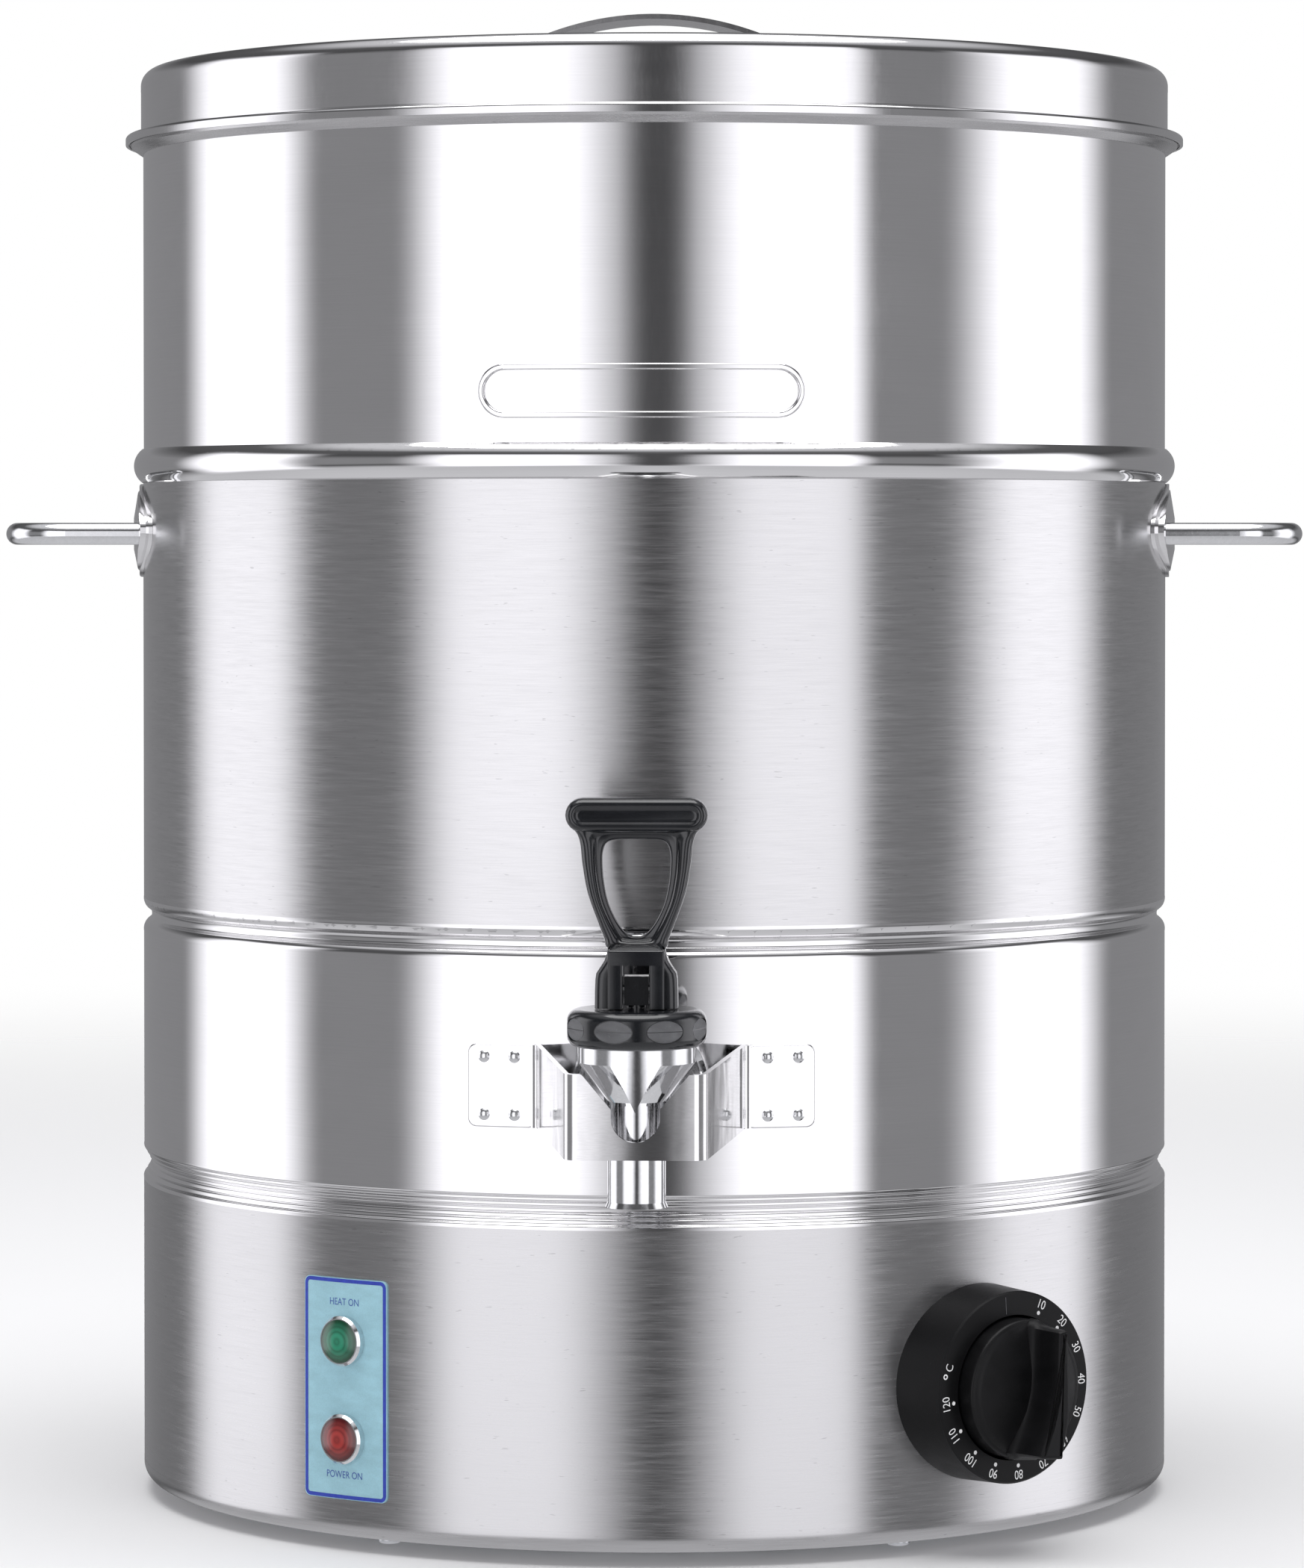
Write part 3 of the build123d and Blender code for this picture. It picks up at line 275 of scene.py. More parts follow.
def plastic(name, colour, roughness, grain=1.5e-5, size=2600, coat=0.0, ior=1.5):
    """Moulded plastic: fine mould texture, uneven gloss and a little dust in its colour."""
    s = Shader(name, colour, roughness, 0.0, IOR=ior, Coat_Weight=coat, Coat_Roughness=0.08)
    mould = s.noise((size, size, size), 2.0, 0.6)
    flow = s.noise((60, 60, 90), 3.0, 0.6, 0.5)
    dust = s.spread(s.noise((1400, 1400, 1400), 2.0, 0.8), 0.0, 1.0, 0.66, 0.8)
    toned = s.tones(s.spread(flow, 0.0, 1.0), 0.75, 1.35)
    gloss = s.weigh(flow, 0.6, mould, 0.4)
    dusty = tuple(min(1.0, c * 2.2 + 0.012) for c in colour)
    s.paint(s.tones(dust, toned, dusty), s.spread(gloss, roughness * 0.75, roughness * 1.3))
    s.bump((flow, 6e-5), (mould, grain))
    return s.material


def rubber(name, colour, roughness=0.65):
    s = Shader(name, colour, roughness, 0.0, IOR=1.45)
    pores = s.noise((1500, 1500, 1500), 3.0, 0.7)
    bloom = s.noise((70, 70, 70), 3.0, 0.6)
    s.paint(s.tones(s.spread(bloom, 0.0, 1.0), 0.8, 1.3),
            s.spread(pores, roughness * 0.85, roughness * 1.15))
    s.bump((pores, 4e-5))
    return s.material


def sheet_metal(name, colour, roughness=0.35, metallic=1.0):
    """Plain zinc-coated or turned metal with a faint spangle."""
    s = Shader(name, colour, roughness, metallic)
    spangle = s.node("ShaderNodeTexVoronoi")
    spangle.inputs["Scale"].default_value = 160.0
    s.link(s.position, spangle.inputs["Vector"])
    shade = s.weigh(spangle.outputs["Distance"], 0.5, s.noise((300, 300, 300), 3.0), 0.6)
    s.paint(s.tones(s.spread(shade, 0.0, 1.0), 0.82, 1.12),
            s.spread(shade, roughness * 0.8, roughness * 1.25))
    s.bump((s.noise((500, 500, 500), 3.0), 1e-5))
    return s.material


def fibre(name, colour):
    s = Shader(name, colour, 0.9)
    strands = s.noise((300, 300, 900), 4.0, 0.8, 2.0)
    s.paint(s.tones(strands, 0.6, 1.2), s.spread(strands, 0.8, 1.0))
    s.bump((strands, 8e-4))
    return s.material


def label_film(name):
    """Light blue printed film, slightly mottled."""
    s = Shader(name, (0.33, 0.575, 0.66), 0.34, 0.0, IOR=1.5, Coat_Weight=0.3, Coat_Roughness=0.2)
    mottle = s.noise((120, 120, 260), 3.0, 0.6)
    print_grain = s.noise((2400, 2400, 2400), 2.0, 0.6)
    shade = s.weigh(print_grain, 0.35, mottle, 0.65)
    s.paint(s.tones(s.spread(shade, 0.0, 1.0), 0.86, 1.12), s.spread(mottle, 0.28, 0.42))
    s.bump((mottle, 3e-5), (print_grain, 2e-6))
    return s.material


def ink(name, colour, roughness=0.45):
    s = Shader(name, colour, roughness)
    patch = s.noise((900, 900, 900), 2.0, 0.6)
    s.paint(s.tones(s.spread(patch, 0.0, 1.0), 0.85, 1.12),
            s.spread(patch, roughness * 0.85, roughness * 1.2))
    s.bump((patch, 4e-6))
    return s.material


def lamp_lens(name, centre, deep, bright):
    """Tinted lens: dark at its rim, with painted light in pale rings about the lamp behind its middle."""
    s = Shader(name, deep, 0.12, 0.0, IOR=1.5, Coat_Weight=0.6, Coat_Roughness=0.05)
    away = s.node("ShaderNodeVectorMath", operation="DISTANCE")
    s.link(s.position, away.inputs[0])
    away.inputs[1].default_value = centre
    ring_rate = 2600.0
    rings = s.math("ABSOLUTE", s.math("SINE", s.math("MULTIPLY", away.outputs["Value"], ring_rate)))
    # painted light: the lens's colour is painted paler towards its middle, in rings, as if lit by the lamp
    # behind
    glow = s.spread(away.outputs["Value"], 1.0, 0.0, 0.5 * MM, 6.2 * MM)
    lit = s.math("MULTIPLY", glow, s.spread(rings, 0.45, 1.0, 0.0, 1.0))
    s.paint(s.tones(lit, 1.0, bright), s.spread(s.noise((1500, 1500, 1500), 2.0), 0.08, 0.2))
    s.bump((rings, 1.2e-5))
    return s.material


def middle(node):
    low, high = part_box(node)
    return (low + high) / 2


# ---------------------------------------------------------------- finish of each CAD node
def dress(material, *nodes):
    for name in nodes:
        mesh = NODES[name].data
        mesh.materials.clear()
        mesh.materials.append(material)


wall_polish = polished_steel("polished_wall", even_below=336 * MM)
small_chrome = chrome("small_chrome")
gloss_black = plastic("tap_plastic", (0.008, 0.009, 0.011), 0.15, 5e-6, 1800, 0.35, 1.5)
satin_black = plastic("dial_plastic", (0.004, 0.004, 0.0045), 0.4, 1e-5, 2600, 0.0, 1.3)
flat_grey = plastic("thumb_flat_plastic", (0.11, 0.112, 0.118), 0.42, 2e-5, 1500)
white_ink = ink("white_ink", (0.86, 0.86, 0.86))
blue_ink = ink("blue_ink", (0.022, 0.05, 0.42))
caption_ink = ink("caption_ink", (0.06, 0.12, 0.40))

dress(brushed_steel("brushed_wall"), "middle_shell")
# The skirt's sheet is toned 0.93, darker than the wall's: partly its own tone and partly painted shade, for
# the shade that the label casts on the skirt.
skirt_steel = brushed_steel("brushed_skirt", 0.93, 0.22, 101.3 * MM)
dress(skirt_steel, "base_skirt")
dress(wall_polish, "upper_shell", "lower_band")
lid_polish = polished_steel("lid_polish", 0.9, 0.075, 5e-5, 1.0)
dress(lid_polish, "lid_shell", "lid_inner_pan")
dress(brushed_steel("tank_steel", 1.0, 0.24), "inner_tank", "tap_wall_sleeve")
dress(polished_steel("lid_handle_polish", 0.98, 0.08, 4e-5), "lid_handle")
dress(guard_steel("guard_polish"), "tap_guard")
dress(chrome("rivet_steel", 0.95, 0.14), "tap_guard_rivets", "lid_handle_rivets")
dress(polished_steel("handle_plate_polish", 0.98, 0.08, 5e-5), "left_handle_plate",
      "right_handle_plate")
dress(chrome("handle_wire_steel", 0.96, 0.07), "left_handle_wire", "right_handle_wire")
dress(chrome("tap_chrome", 1.0, 0.05, 4e-5), "tap_body", "tap_locknut")
dress(small_chrome, "lamp_bezel_green", "lamp_bezel_red", "tap_lever_pin")
spring_steel = chrome("spring_steel", 0.8, 0.2)
dress(spring_steel, "tap_return_spring")
dress(gloss_black, "tap_bonnet", "tap_lever", "tap_plunger")
dress(satin_black, "dial_bezel", "thermostat_knob")
dress(label_film("label_film"), "label_panel")
dress(lamp_lens("green_lens", middle("lamp_lens_green"), (0.004, 0.05, 0.022), (0.05, 0.42, 0.25)),
      "lamp_lens_green")
dress(lamp_lens("red_lens", middle("lamp_lens_red"), (0.07, 0.003, 0.004), (0.62, 0.07, 0.06)),
      "lamp_lens_red")
dress(rubber("foot_rubber", (0.018, 0.018, 0.018)), "foot_ring")
dress(rubber("silicone", (0.62, 0.62, 0.6), 0.5), "element_gaskets", "tap_outer_washer",
      "tap_inner_washer", "tap_seat_cup")
dress(sheet_metal("brass", (0.72, 0.53, 0.24), 0.25), "element_bushes", "element_nuts", "earth_stud")
dress(sheet_metal("zinc", (0.62, 0.63, 0.65), 0.28), "base_plate_screws", "foot_ring_screws",
      "thermostat_shaft", "dial_screws", "lamp_nuts", "side_handle_nuts")
dress(sheet_metal("base_sheet", (0.56, 0.57, 0.58), 0.42), "base_plate", "sensor_clip")
dress(sheet_metal("element_sheath", (0.32, 0.31, 0.30), 0.4), "heating_element")
dress(sheet_metal("copper", (0.72, 0.40, 0.27), 0.3), "sensor_capillary")
dress(plastic("gland_plastic", (0.02, 0.02, 0.021), 0.5), "cord_gland", "cord_gland_nut")
dress(plastic("white_plastic", (0.72, 0.70, 0.64), 0.5), "terminal_block", "thermostat_body",
      "thermal_cutout", "lamp_bodies")
dress(plastic("wire_sleeve", (0.5, 0.46, 0.38), 0.55), "internal_wires")
dress(fibre("insulation_mat", (0.72, 0.64, 0.36)), "insulation_jacket")


# ---------------------------------------------------------------- shapes made here
class Piece:
    """A mesh put together from lofts and flat faces, in millimetres."""

    def __init__(self, name, place):
        self.name, self.place = name, place
        self.shape = bmesh.new()

    def verts(self, points):
        return [self.shape.verts.new(self.place(*p) * MM) for p in points]

    def face(self, points):
        self.shape.faces.new(self.verts(points))

    def loft(self, loops, closed=False):
        """Skins a row of loops that have equal counts. An open row gets a cap at each end."""
        rows = [self.verts(loop) for loop in loops]
        for a, b in zip(rows, rows[1:] + rows[:1] if closed else rows[1:]):
            for k in range(len(a)):
                j = (k + 1) % len(a)
                self.shape.faces.new((a[k], a[j], b[j], b[k]))
        if not closed:
            self.shape.faces.new(rows[0][::-1])
            self.shape.faces.new(rows[-1])

    def turned(self, profile, count=96):
        """Turns (radius, z) points about the local z axis. The last one is on the axis."""
        rings = []
        for r, z in profile[:-1]:
            rings.append([(r * math.cos(t), r * math.sin(t), z) for t in turn(count)])
        rows = [self.verts(ring) for ring in rings]
        tip = self.verts([(0, 0, profile[-1][1])])[0]
        for a, b in zip(rows, rows[1:]):
            for k in range(count):
                self.shape.faces.new((a[k], a[(k + 1) % count], b[(k + 1) % count], b[k]))
        for k in range(count):
            self.shape.faces.new((rows[-1][k], rows[-1][(k + 1) % count], tip))
        self.shape.faces.new(rows[0][::-1])

    def done(self, body, material, replaced=None, angle=32):
        """Makes the shape an object that rides on the body. Edges sharper than the angle stay sharp."""
        bmesh.ops.recalc_face_normals(self.shape, faces=self.shape.faces)
        mesh = bpy.data.meshes.new(self.name)
        self.shape.to_mesh(mesh)
        mesh.shade_smooth()
        mesh.set_sharp_from_angle(angle=math.radians(angle))
        made = bpy.data.objects.new(self.name, mesh)
        bpy.context.collection.objects.link(made)
        mesh.materials.append(material)
        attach(made, body)
        if replaced:
            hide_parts(replaced)
        return made


def turn(count):
    """Angles of a full turn, in radians."""
    return [2 * math.pi * k / count for k in range(count)]


def at_tap(x, height, out):
    """Point beside the tap's vertical axis, to the right and out to the front."""
    return Vector((x, TAP_Y - out, BASE_Z + height))


def at_wall(azimuth, height, radius):
    """Places flat work on the wall: x to the right, y up and z outward from the radius."""
    a = math.radians(azimuth)
    right, out = Vector((math.cos(a), math.sin(a), 0)), Vector((math.sin(a), -math.cos(a), 0))
    origin = out * radius + Vector((0, 0, BASE_Z + height))
    return lambda x, y, z: origin + right * x + Vector((0, 0, y)) + out * z


def round_wall(azimuth, height, radius):
    """Wraps flat work round the wall."""
    def place(x, y, z):
        a = math.radians(azimuth) + x / radius
        return Vector(((radius + z) * math.sin(a), -(radius + z) * math.cos(a), BASE_Z + height + y))
    return place


def smooth_line(points, steps):
    """Catmull-Rom curve through 2-D points."""
    last = len(points) - 1
    out = []
    for i in range(last):
        p0, p1, p2, p3 = (Vector(points[max(0, min(last, i + k))]) for k in (-1, 0, 1, 2))
        for j in range(steps):
            t = j / steps
            out.append(0.5 * (2 * p1 + (p2 - p0) * t + (2 * p0 - 5 * p1 + 4 * p2 - p3) * t * t
                              + (3 * p1 - p0 - 3 * p2 + p3) * t ** 3))
    out.append(Vector(points[-1]))
    return out


def inset(outline, amount):
    """Moves a closed outline inwards along its own normals."""
    following = outline[1:] + outline[:1]
    area = sum(a.x * b.y - b.x * a.y for a, b in zip(outline, following))
    sign = 1.0 if area > 0 else -1.0
    moved = []
    for k, here in enumerate(outline):
        along = (following[k] - outline[k - 1]).normalized()
        moved.append(here + Vector((-along.y, along.x)) * amount * sign)
    return moved


def stadium(half_length, radius, count=12):
    """Outline of a bar with half-round ends."""
    ends = []
    for side, start in ((1, -math.pi / 2), (-1, math.pi / 2)):
        for k in range(count + 1):
            t = start + math.pi * k / count
            centre_x = side * (half_length - radius)
            ends.append(Vector((centre_x + radius * math.cos(t), radius * math.sin(t))))
    return ends


def rounded(half_x, half_y, radius, count=5):
    """Rectangle with rounded corners."""
    out = []
    for side_x, side_y, start in CORNERS:
        centre = Vector((side_x * (half_x - radius), side_y * (half_y - radius)))
        for k in range(count + 1):
            t = math.radians(start + 90 * k / count)
            out.append(centre + Vector((radius * math.cos(t), radius * math.sin(t))))
    return out


def make_lever():
    """Loop of round arms with an inner lip, under a rimmed bar, on a block that straddles the stem."""
    lever = Piece("tap_lever_shape", at_tap)
    bar_h, block_low, slot_top = 222.6, 166.9, 179.5
    outer_half = [(0, 183.9), (4.5, 183.9), (8.5, 184.1), (9.4, 186.8), (11.3, 191.8), (14.2, 200.0),
                  (15.7, 208.3), (16.3, 214.0), (17.2, 217.0), (19.0, 219.4), (19.0, 222.0), (10, bar_h),
                  (0, bar_h)]
    inner_half = [(0, 187.4), (1.4, 187.6), (2.8, 188.3), (4.4, 189.9), (6.4, 193.1), (8.3, 197.6),
                  (9.5, 203.5), (9.9, 209.5), (9.6, 212.6), (8.6, 214.6), (6.4, 215.5), (3.0, 215.7),
                  (0, 215.7)]
    # the arm's section: share of the way from the outer line to the inner one, and depth
    section = [(0.0, 0.6), (0.03, 1.7), (0.1, 2.9), (0.2, 3.65), (0.33, 4.0), (0.46, 3.9), (0.58, 3.35),
               (0.67, 2.6), (0.73, 2.1), (0.79, 1.95), (0.9, 1.95), (0.97, 1.6), (1.0, 0.8)]
    section += [(s, -t) for s, t in section[::-1]]
    lines = []
    for half in (outer_half, inner_half):
        right = smooth_line(half, 8)
        lines.append([*right, *[Vector((-p.x, p.y)) for p in right[-2:0:-1]]])
    lever.loft([[(*a.lerp(b, s), t) for s, t in section] for a, b in zip(*lines)], closed=True)

    bar = stadium(20.65, 5.1)
    # the bar's front: how far in from its outline, and depth
    rim = [(0.0, 1.4), (0.15, 2.9), (0.6, 4.2), (1.25, 4.9), (1.9, 5.1), (2.5, 4.95), (3.0, 4.5),
           (3.5, 4.3), (3.9, 4.25)]
    rim = [(o, -t) for o, t in rim[::-1]] + rim
    lever.loft([[(p.x, p.y + bar_h, t) for p in inset(bar, o)] for o, t in rim])

    def upright(centre_x, sections):
        """Column of rounded rectangles, each (height, half width, half depth, corner radius)."""
        loops = []
        for height, half_x, half_y, radius in sections:
            loops.append([(centre_x + p.x, height, p.y) for p in rounded(half_x, half_y, radius)])
        lever.loft(loops)

    edge_r = 0.5
    upright(0, [(slot_top, 8.15, 7.9, edge_r), (183.3, 8.15, 7.9, edge_r), (183.8, 8.0, 7.6, edge_r),
                (184.1, 7.6, 7.1, edge_r), (185.4, 7.2, 4.6, edge_r)])
    cheek_x, inner_x, wing_depth = 6.03, 4.2, 5.9
    for side in (-1, 1):
        upright(side * cheek_x, [(block_low, 2.12, 7.9, edge_r), (slot_top, 2.12, 7.9, edge_r)])
        wing = []
        for height, wide in ((block_low, 12.05), (172.0, 12.0), (175.5, 11.85), (177.0, 11.6),
                             (178.5, 10.6), (180.5, 9.3), (182.5, 8.6), (184.0, 8.3)):
            half = (wide - inner_x) / 2
            outline = rounded(half, wing_depth, min(2.4, half - 0.1))
            wing.append([(side * (inner_x + half) + p.x, height, p.y) for p in outline])
        lever.loft(wing)
    lever.done("lever", gloss_black, replaced="tap_lever", angle=50)


def make_bonnet_flats():
    """Grey thumb flats round the bonnet, each parted by a fine line at mid height."""
    count, first_azimuth, flat_h, flat_r = 8, 26.3, 161.1, 19.38
    half_x, half_y, half_line, thick, taper = 5.6, 3.2, 0.09, 0.05, 0.985
    for k in range(count):
        place = at_wall(first_azimuth + 360 * k / count, flat_h, flat_r)
        flat = Piece(f"bonnet_flat_{k}", lambda x, y, z: place(x, y, z) + Vector((0, TAP_Y, 0)))
        for sign in (-1, 1):
            edge = []
            for j in range(21):
                t = math.pi * j / 20
                edge.append((half_x * math.cos(t), sign * max(half_line, half_y * math.sin(t))))
            top = [(x * taper, y * taper if abs(y) > 0.1 else y, thick) for x, y in edge]
            flat.loft([[(x, y, 0.0) for x, y in edge], top])
        flat.done("vessel", flat_grey)


def make_knob():
    """Low domed disc with an upright, curved finger grip."""
    knob = Piece("thermostat_knob_shape", at_wall(*DIAL))
    knob.turned([(20.6, 5.6), (21.0, 6.0), (21.0, 21.2), (20.85, 21.8), (20.4, 22.15), (20.0, 22.2),
                 (19.75, 22.3), (19.3, 22.75), (18.0, 23.15), (15.0, 23.8), (11.0, 24.45), (6.0, 25.0),
                 (0.0, 25.2)])
    left = smooth_line([(1.2, 18.4), (0.9, 8.0), (0.2, 0.0), (-2.2, -9.0), (-6.2, -18.0)], 8)
    right = smooth_line([(2.2, -19.6), (5.0, -9.0), (5.4, 0.0), (5.1, 9.0), (4.4, 18.7)], 8)
    low_end = [Vector((-5.6, -18.7)), Vector((-4.6, -19.0))]
    high_end = [Vector((3.9, 19.1)), Vector((1.9, 18.9))]
    outline = [*left, *low_end, *right, *high_end]
    # height of each level, and how far in from the outline it is
    levels = [(20.0, -1.9), (24.2, -1.5), (25.0, -0.9), (26.2, -0.45), (28.5, -0.15), (32.0, 0.0),
              (35.3, 0.1), (36.0, 0.3), (36.4, 0.75), (36.5, 1.2), (36.5, 1.5)]
    knob.loft([[(p.x, p.y, z) for p in inset(outline, o)] for z, o in levels])
    knob.done("knob", satin_black, replaced="thermostat_knob", angle=40)


def letters(words, height, narrow=1.0):
    """Faces of a line of text, centred, with capitals of the height: lists of (x, y)."""
    capital_share = 0.69  # a capital's height as a share of the font's size
    curve = bpy.data.curves.new("letters", "FONT")
    curve.body, curve.size = words, height / capital_share
    curve.align_x, curve.align_y = "CENTER", "CENTER"
    holder = bpy.data.objects.new("letters", curve)
    bpy.context.collection.objects.link(holder)
    mesh = bpy.data.meshes.new_from_object(holder.evaluated_get(bpy.context.evaluated_depsgraph_get()))
    points = [v.co.copy() for v in mesh.vertices]
    middle_y = (min(p.y for p in points) + max(p.y for p in points)) / 2
    faces = []
    for polygon in mesh.polygons:
        faces.append([(points[i].x * narrow, points[i].y - middle_y) for i in polygon.vertices])
    bpy.data.objects.remove(holder)
    bpy.data.curves.remove(curve)
    bpy.data.meshes.remove(mesh)
    return faces


def make_dial_print():
    """Numbers, dots and the unit on the dial's face, and its index line."""
    marks = Piece("dial_numbers", at_wall(*DIAL))
    face_z, figure, narrow = 16.64, 2.7, 0.86
    numbers_r, dots_r, first_angle, step = 26.5, 23.7, 1.7, 21.8
    unit_at, degree_at = (26.4, 287.6), (27.2, 281.4)  # radius and angle

    def put(faces, radius, angle):
        """Stands flat faces at a radius, turned clockwise from the top."""
        c, s = math.cos(math.radians(angle)), math.sin(math.radians(angle))
        for face in faces:
            marks.face([(x * c + (radius + y) * s, -x * s + (radius + y) * c, face_z) for x, y in face])

    def circle(radius):
        return [(radius * math.cos(t), radius * math.sin(t)) for t in turn(16)]

    dot = [circle(0.62)]
    for k in range(1, 13):
        angle = first_angle + step * k
        put(letters(str(10 * k), figure, narrow), numbers_r, angle)
        put(dot, dots_r, angle)
    put(letters("C", figure, narrow), *unit_at)
    big, small = circle(0.85), circle(0.42)
    degree = list(zip(big, big[1:] + big[:1], small[1:] + small[:1], small))
    put(degree, *degree_at)
    marks.done("vessel", white_ink)
    line = Piece("dial_index_line", at_wall(*DIAL))
    corners = ((-0.07, 22.3), (0.07, 22.3), (0.07, 27.4), (-0.07, 27.4))
    offset, lean = 1.9, 0.055
    line.loft([[(x - offset - lean * y, y, z) for x, y in corners] for z in (16.6, 16.66)])
    line.done("vessel", flat_grey)


def make_label_print():
    """Blue border and the two captions, on the label's film."""
    place = round_wall(*LABEL)
    half_x, half_y, corner_r, wide, ink_low, ink_top = 13.3, 31.3, 2.0, 1.1, 0.02, 0.06
    border = Piece("label_border", place)
    outline = []
    for (x, y, start), (next_x, next_y, _) in zip(CORNERS, CORNERS[1:] + CORNERS[:1]):
        centre, following = Vector((x * half_x, y * half_y)), Vector((next_x * half_x, next_y * half_y))
        for k in range(7):
            t = math.radians(start + 15 * k)
            outline.append(centre + Vector((corner_r * math.cos(t), corner_r * math.sin(t))))
        last = outline[-1]
        outline += [last + (following - centre) * k / 8 for k in range(1, 8)]
    section = ((0.0, ink_low), (0.0, ink_top), (wide, ink_top), (wide, ink_low))
    border.loft([[(p.x, p.y, z) for p in inset(outline, o)] for o, z in section], closed=True)
    border.done("vessel", blue_ink)
    words = Piece("label_words", place)
    for text, y in (("HEAT ON", 26.4), ("POWER ON", -26.0)):
        for face in letters(text, 2.1, 0.84):
            words.face([(x, y + v, 0.05) for x, v in face])
    words.done("vessel", caption_ink)


def arc(centre, radius, start, end, count=14):
    """Points of an arc as (radius from the vessel's axis, height), with the angles in degrees."""
    angles = [math.radians(start + (end - start) * k / count) for k in range(count + 1)]
    return [Vector((centre[0] + radius * math.cos(a), centre[1] + radius * math.sin(a))) for a in angles]


def make_rolled_ring(name, outer, depth, body, material):
    """Skin of a rolled groove, bead or bend, a hair proud of the sheet that it is rolled in."""
    count = 288
    ring = Piece(name, lambda x, y, z: Vector((x, y, BASE_Z + z)))
    inner = []
    for before, here, after in zip(outer[:1] + outer[:-1], outer, outer[1:] + outer[-1:]):
        along = (after - before).normalized()
        normal = Vector((along.y, -along.x))
        inner.append(here - normal * depth)
    section = [*outer, *inner[::-1]]
    ring.loft([[(p.x * math.cos(t), p.x * math.sin(t), p.y) for p in section] for t in turn(count)],
              closed=True)
    ring.done(body, material, angle=40)


def make_rolled_rings():
    upper = smooth_line([
        (165.23, 176.4), (165.23, 177.3), (165.02, 178.2), (164.6, 179.05), (163.98, 179.75),
        (163.05, 180.5), (162.66, 181.2), (162.66, 182.4), (163.05, 183.35), (163.98, 184.0),
        (164.62, 184.7), (165.02, 185.55), (165.23, 186.4), (165.23, 187.2)], 4)
    lower = smooth_line([
        (165.33, 96.6), (165.33, 97.45), (165.05, 97.95), (164.5, 98.2), (164.25, 98.7), (164.23, 99.25),
        (163.95, 99.75), (163.45, 100.1), (163.33, 100.9), (163.05, 101.4), (162.55, 101.75),
        (162.43, 102.3), (162.55, 102.85), (163.15, 103.35), (163.46, 103.8), (163.48, 104.55),
        (164.05, 105.05), (164.36, 105.5), (164.38, 106.15), (164.95, 106.6), (165.25, 107.1),
        (165.23, 107.8)], 3)
    bead = arc((161.42, 325.78), 6.74, -53.0, 53.6, 20)
    make_rolled_ring("upper_groove_skin", upper, 0.25, "vessel", wall_polish)
    make_rolled_ring("lower_groove_skin", lower, 0.2, "vessel", wall_polish)
    make_rolled_ring("bead_skin", bead, 0.25, "vessel", wall_polish)
    bend = [Vector((158.0, -0.03)), *arc((160.3, 5.0), 5.03, -90.0, 0.0), Vector((165.33, 6.5))]
    make_rolled_ring("skirt_bend_skin", bend, 0.25, "vessel", skirt_steel)
    lid_bend = [Vector((165.73, 446.0)), *arc((160.7, 447.8), 5.03, 0.0, 90.0), Vector((158.0, 452.83))]
    make_rolled_ring("lid_bend_skin", lid_bend, 0.25, "lid", lid_polish)
    flange = [Vector((170.63, 428.9)), *arc((169.5, 430.5), 1.13, 0.0, 90.0, 8), Vector((167.6, 431.63)),
              Vector((166.1, 431.72)), Vector((165.8, 431.95)), Vector((165.73, 432.5))]
    make_rolled_ring("lid_flange_skin", flange, 0.2, "lid", lid_polish)


def make_spring():
    """Return spring with a closed turn at each end."""
    coil_r, wire_r, low, high, turns, steps = 5.2, 0.5, 152.0, 163.1, 6, 40
    closed_rise = 1.02
    open_rise = (high - low - 2 * closed_rise) / (turns - 2)
    spring = Piece("tap_return_spring_shape", at_tap)
    loops = []
    for k in range(turns * steps + 1):
        t = k / steps
        closed_turns = min(t, 1) + max(t - turns + 1, 0)
        open_turns = max(0.0, min(t, turns - 1) - 1)
        height = low + closed_rise * closed_turns + open_rise * open_turns
        a = 2 * math.pi * t
        wire = [(coil_r + wire_r * math.cos(w), wire_r * math.sin(w)) for w in turn(12)]
        loops.append([(r * math.cos(a), height + rise, r * math.sin(a)) for r, rise in wire])
    spring.loft(loops)
    made = spring.done("vessel", spring_steel, replaced="tap_return_spring", angle=50)
    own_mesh(made)


make_rolled_rings()
make_spring()
make_lever()
make_bonnet_flats()
make_knob()
make_dial_print()
make_label_print()


# ---------------------------------------------------------------- studio
def make_floor():
    """Pale floor that fades out before the horizon."""
    floor_r, fade_from, fade_to = 4.0, 0.8, 2.2  # metres
    mesh = bpy.data.meshes.new("floor")
    shape = bmesh.new()
    bmesh.ops.create_circle(shape, cap_ends=True, segments=96, radius=floor_r)
    shape.to_mesh(mesh)
    floor = bpy.data.objects.new("floor", mesh)
    bpy.context.collection.objects.link(floor)
    s = Shader("pale_floor", (0.9, 0.9, 0.9), 0.7)
    away = s.node("ShaderNodeVectorMath", operation="LENGTH")
    s.link(s.position, away.inputs[0])
    fade = s.node("ShaderNodeMapRange", interpolation_type="SMOOTHSTEP")
    for socket, value in zip(fade.inputs[1:5], (fade_from, fade_to, 0.0, 1.0)):
        socket.default_value = value
    s.link(away.outputs["Value"], fade.inputs[0])
    clear = s.node("ShaderNodeBsdfTransparent")
    mix = s.node("ShaderNodeMixShader")
    s.link(fade.outputs[0], mix.inputs[0])
    s.link(s.bsdf.outputs[0], mix.inputs[1])
    s.link(clear.outputs[0], mix.inputs[2])
    s.link(mix.outputs[0], s.tree.nodes["Material Output"].inputs["Surface"])
    mesh.materials.append(s.material)
    floor.visible_glossy = False


def smooth(t):
    """Eases from 0 to 1 as t does, and holds beyond."""
    t = max(0.0, min(1.0, t))
    return t * t * (3 - 2 * t)


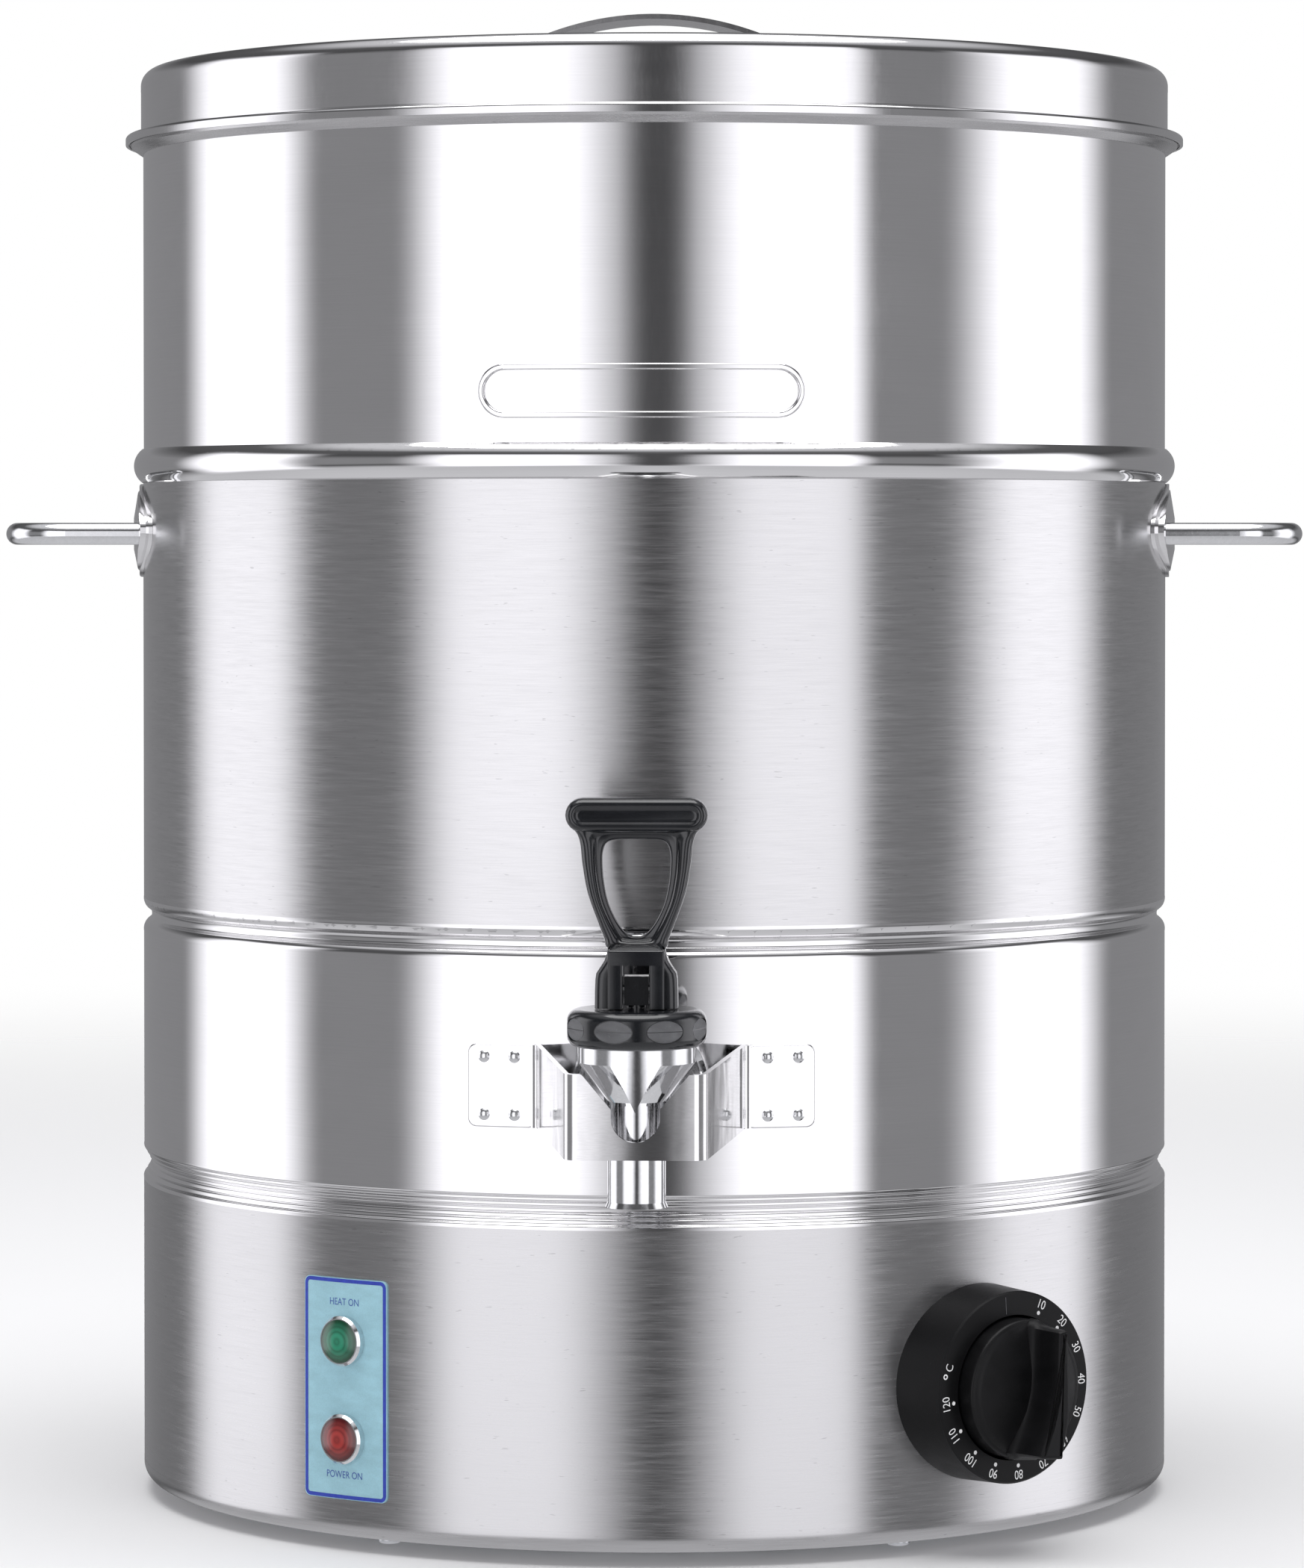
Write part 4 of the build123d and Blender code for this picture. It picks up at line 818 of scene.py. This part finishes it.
def softbox(name, start, end, soft_start, soft_end, strength, radius=2.4):
    """Tall curved light panel with soft edges, from one azimuth to another.

    Azimuths are degrees from the front towards +X. Lengths here are metres.
    """
    columns, rows = 36, 16
    low, high, soft_top, soft_foot = -0.95, 1.75, 0.45, 0.35
    mesh = bpy.data.meshes.new(name)
    shape = bmesh.new()
    glow = shape.verts.layers.float.new("glow")
    grid = []
    for i in range(columns + 1):
        azimuth = start + (end - start) * i / columns
        a = math.radians(azimuth)
        side = smooth((azimuth - start) / soft_start) * smooth((end - azimuth) / soft_end)
        column = []
        for j in range(rows + 1):
            z = low + (high - low) * j / rows
            vertex = shape.verts.new((radius * math.sin(a), -radius * math.cos(a), z))
            tall = smooth((high - z) / soft_top) * smooth((z - low) / soft_foot)
            vertex[glow] = side * tall
            column.append(vertex)
        grid.append(column)
    for i in range(columns):
        for j in range(rows):
            shape.faces.new((grid[i][j], grid[i][j + 1], grid[i + 1][j + 1], grid[i + 1][j]))
    shape.to_mesh(mesh)
    panel = bpy.data.objects.new(name, mesh)
    bpy.context.collection.objects.link(panel)
    material = bpy.data.materials.new(name)
    material.use_nodes = True
    tree = material.node_tree
    tree.nodes.clear()
    out = tree.nodes.new("ShaderNodeOutputMaterial")
    mix = tree.nodes.new("ShaderNodeMixShader")
    emit = tree.nodes.new("ShaderNodeEmission")
    emit.inputs["Color"].default_value = (0.965, 0.96, 1.0, 1.0)
    emit.inputs["Strength"].default_value = strength
    clear = tree.nodes.new("ShaderNodeBsdfTransparent")
    level = tree.nodes.new("ShaderNodeAttribute")
    level.attribute_name = "glow"
    tree.links.new(level.outputs["Fac"], mix.inputs[0])
    tree.links.new(clear.outputs[0], mix.inputs[1])
    tree.links.new(emit.outputs[0], mix.inputs[2])
    tree.links.new(mix.outputs[0], out.inputs["Surface"])
    mesh.materials.append(material)
    panel.visible_camera = False
    panel.visible_shadow = False


def make_world():
    """White for the camera; for the object, dim at eye level and paler above and below."""
    world = bpy.data.worlds.new("studio")
    bpy.context.scene.world = world
    world.use_nodes = True
    tree = world.node_tree
    tree.nodes.clear()
    out = tree.nodes.new("ShaderNodeOutputWorld")
    coords = tree.nodes.new("ShaderNodeTexCoord")
    split = tree.nodes.new("ShaderNodeSeparateXYZ")
    ramp = tree.nodes.new("ShaderNodeValToRGB")
    shift = tree.nodes.new("ShaderNodeMath")
    shift.operation = "MULTIPLY_ADD"
    for socket in shift.inputs[1:3]:
        socket.default_value = 0.5
    tree.links.new(coords.outputs["Generated"], split.inputs[0])
    tree.links.new(split.outputs["Z"], shift.inputs[0])
    tree.links.new(shift.outputs[0], ramp.inputs[0])
    # share of the way from straight down to straight up, and brightness
    stops = [(0.0, 0.7), (0.28, 0.6), (0.36, 0.1), (0.42, 0.27), (0.6, 0.27), (0.7, 0.08), (0.82, 0.12),
             (0.9, 0.7), (1.0, 0.8)]
    cool = 0.965  # red and green as a share of blue
    elements = ramp.color_ramp.elements
    while len(elements) < len(stops):
        elements.new(0.5)
    for element, (place, level) in zip(elements, stops):
        element.position = place
        element.color = (level * cool, level * cool, level, 1.0)
    dim = tree.nodes.new("ShaderNodeBackground")
    tree.links.new(ramp.outputs[0], dim.inputs["Color"])
    white = tree.nodes.new("ShaderNodeBackground")
    white.inputs["Color"].default_value = (1.0, 1.0, 1.0, 1.0)
    path = tree.nodes.new("ShaderNodeLightPath")
    mix = tree.nodes.new("ShaderNodeMixShader")
    tree.links.new(path.outputs["Is Camera Ray"], mix.inputs[0])
    tree.links.new(dim.outputs[0], mix.inputs[1])
    tree.links.new(white.outputs[0], mix.inputs[2])
    tree.links.new(mix.outputs[0], out.inputs["Surface"])


def make_top_light():
    light = bpy.data.lights.new("top_light", "AREA")
    light.shape = "DISK"
    light.size = 2.6
    light.energy = 55.0
    lamp = bpy.data.objects.new("top_light", light)
    lamp.location = (0.0, -0.2, 2.6)
    lamp.visible_camera = False
    bpy.context.collection.objects.link(lamp)


def make_camera():
    """Camera at the front, a little to the right of the tap, level with the upper part of the wall."""
    away, height, azimuth, pitch = 1.92, 0.3074, math.radians(1.4), math.radians(1.19)
    data = bpy.data.cameras.new("camera")
    data.lens = 135.8
    data.sensor_width = 36.0
    data.shift_x = -0.0015
    data.shift_y = -0.08
    camera = bpy.data.objects.new("camera", data)
    camera.location = (away * math.sin(azimuth), -away * math.cos(azimuth), height)
    camera.rotation_euler = (math.pi / 2 - pitch, 0.0, azimuth)
    bpy.context.collection.objects.link(camera)
    bpy.context.scene.camera = camera


make_floor()
softbox("front_left_box", -56, 1, 17, 22, 1.62)
softbox("front_right_box", 4, 50, 20, 8, 1.50)
softbox("left_box", -126, -74, 18, 16, 1.60)
softbox("right_box", 64, 121, 24, 20, 1.66)
softbox("dark_card", -7, 11, 8, 8, 0.085, 2.3)
make_world()
make_top_light()
make_camera()
bpy.context.scene.view_settings.view_transform = "Standard"
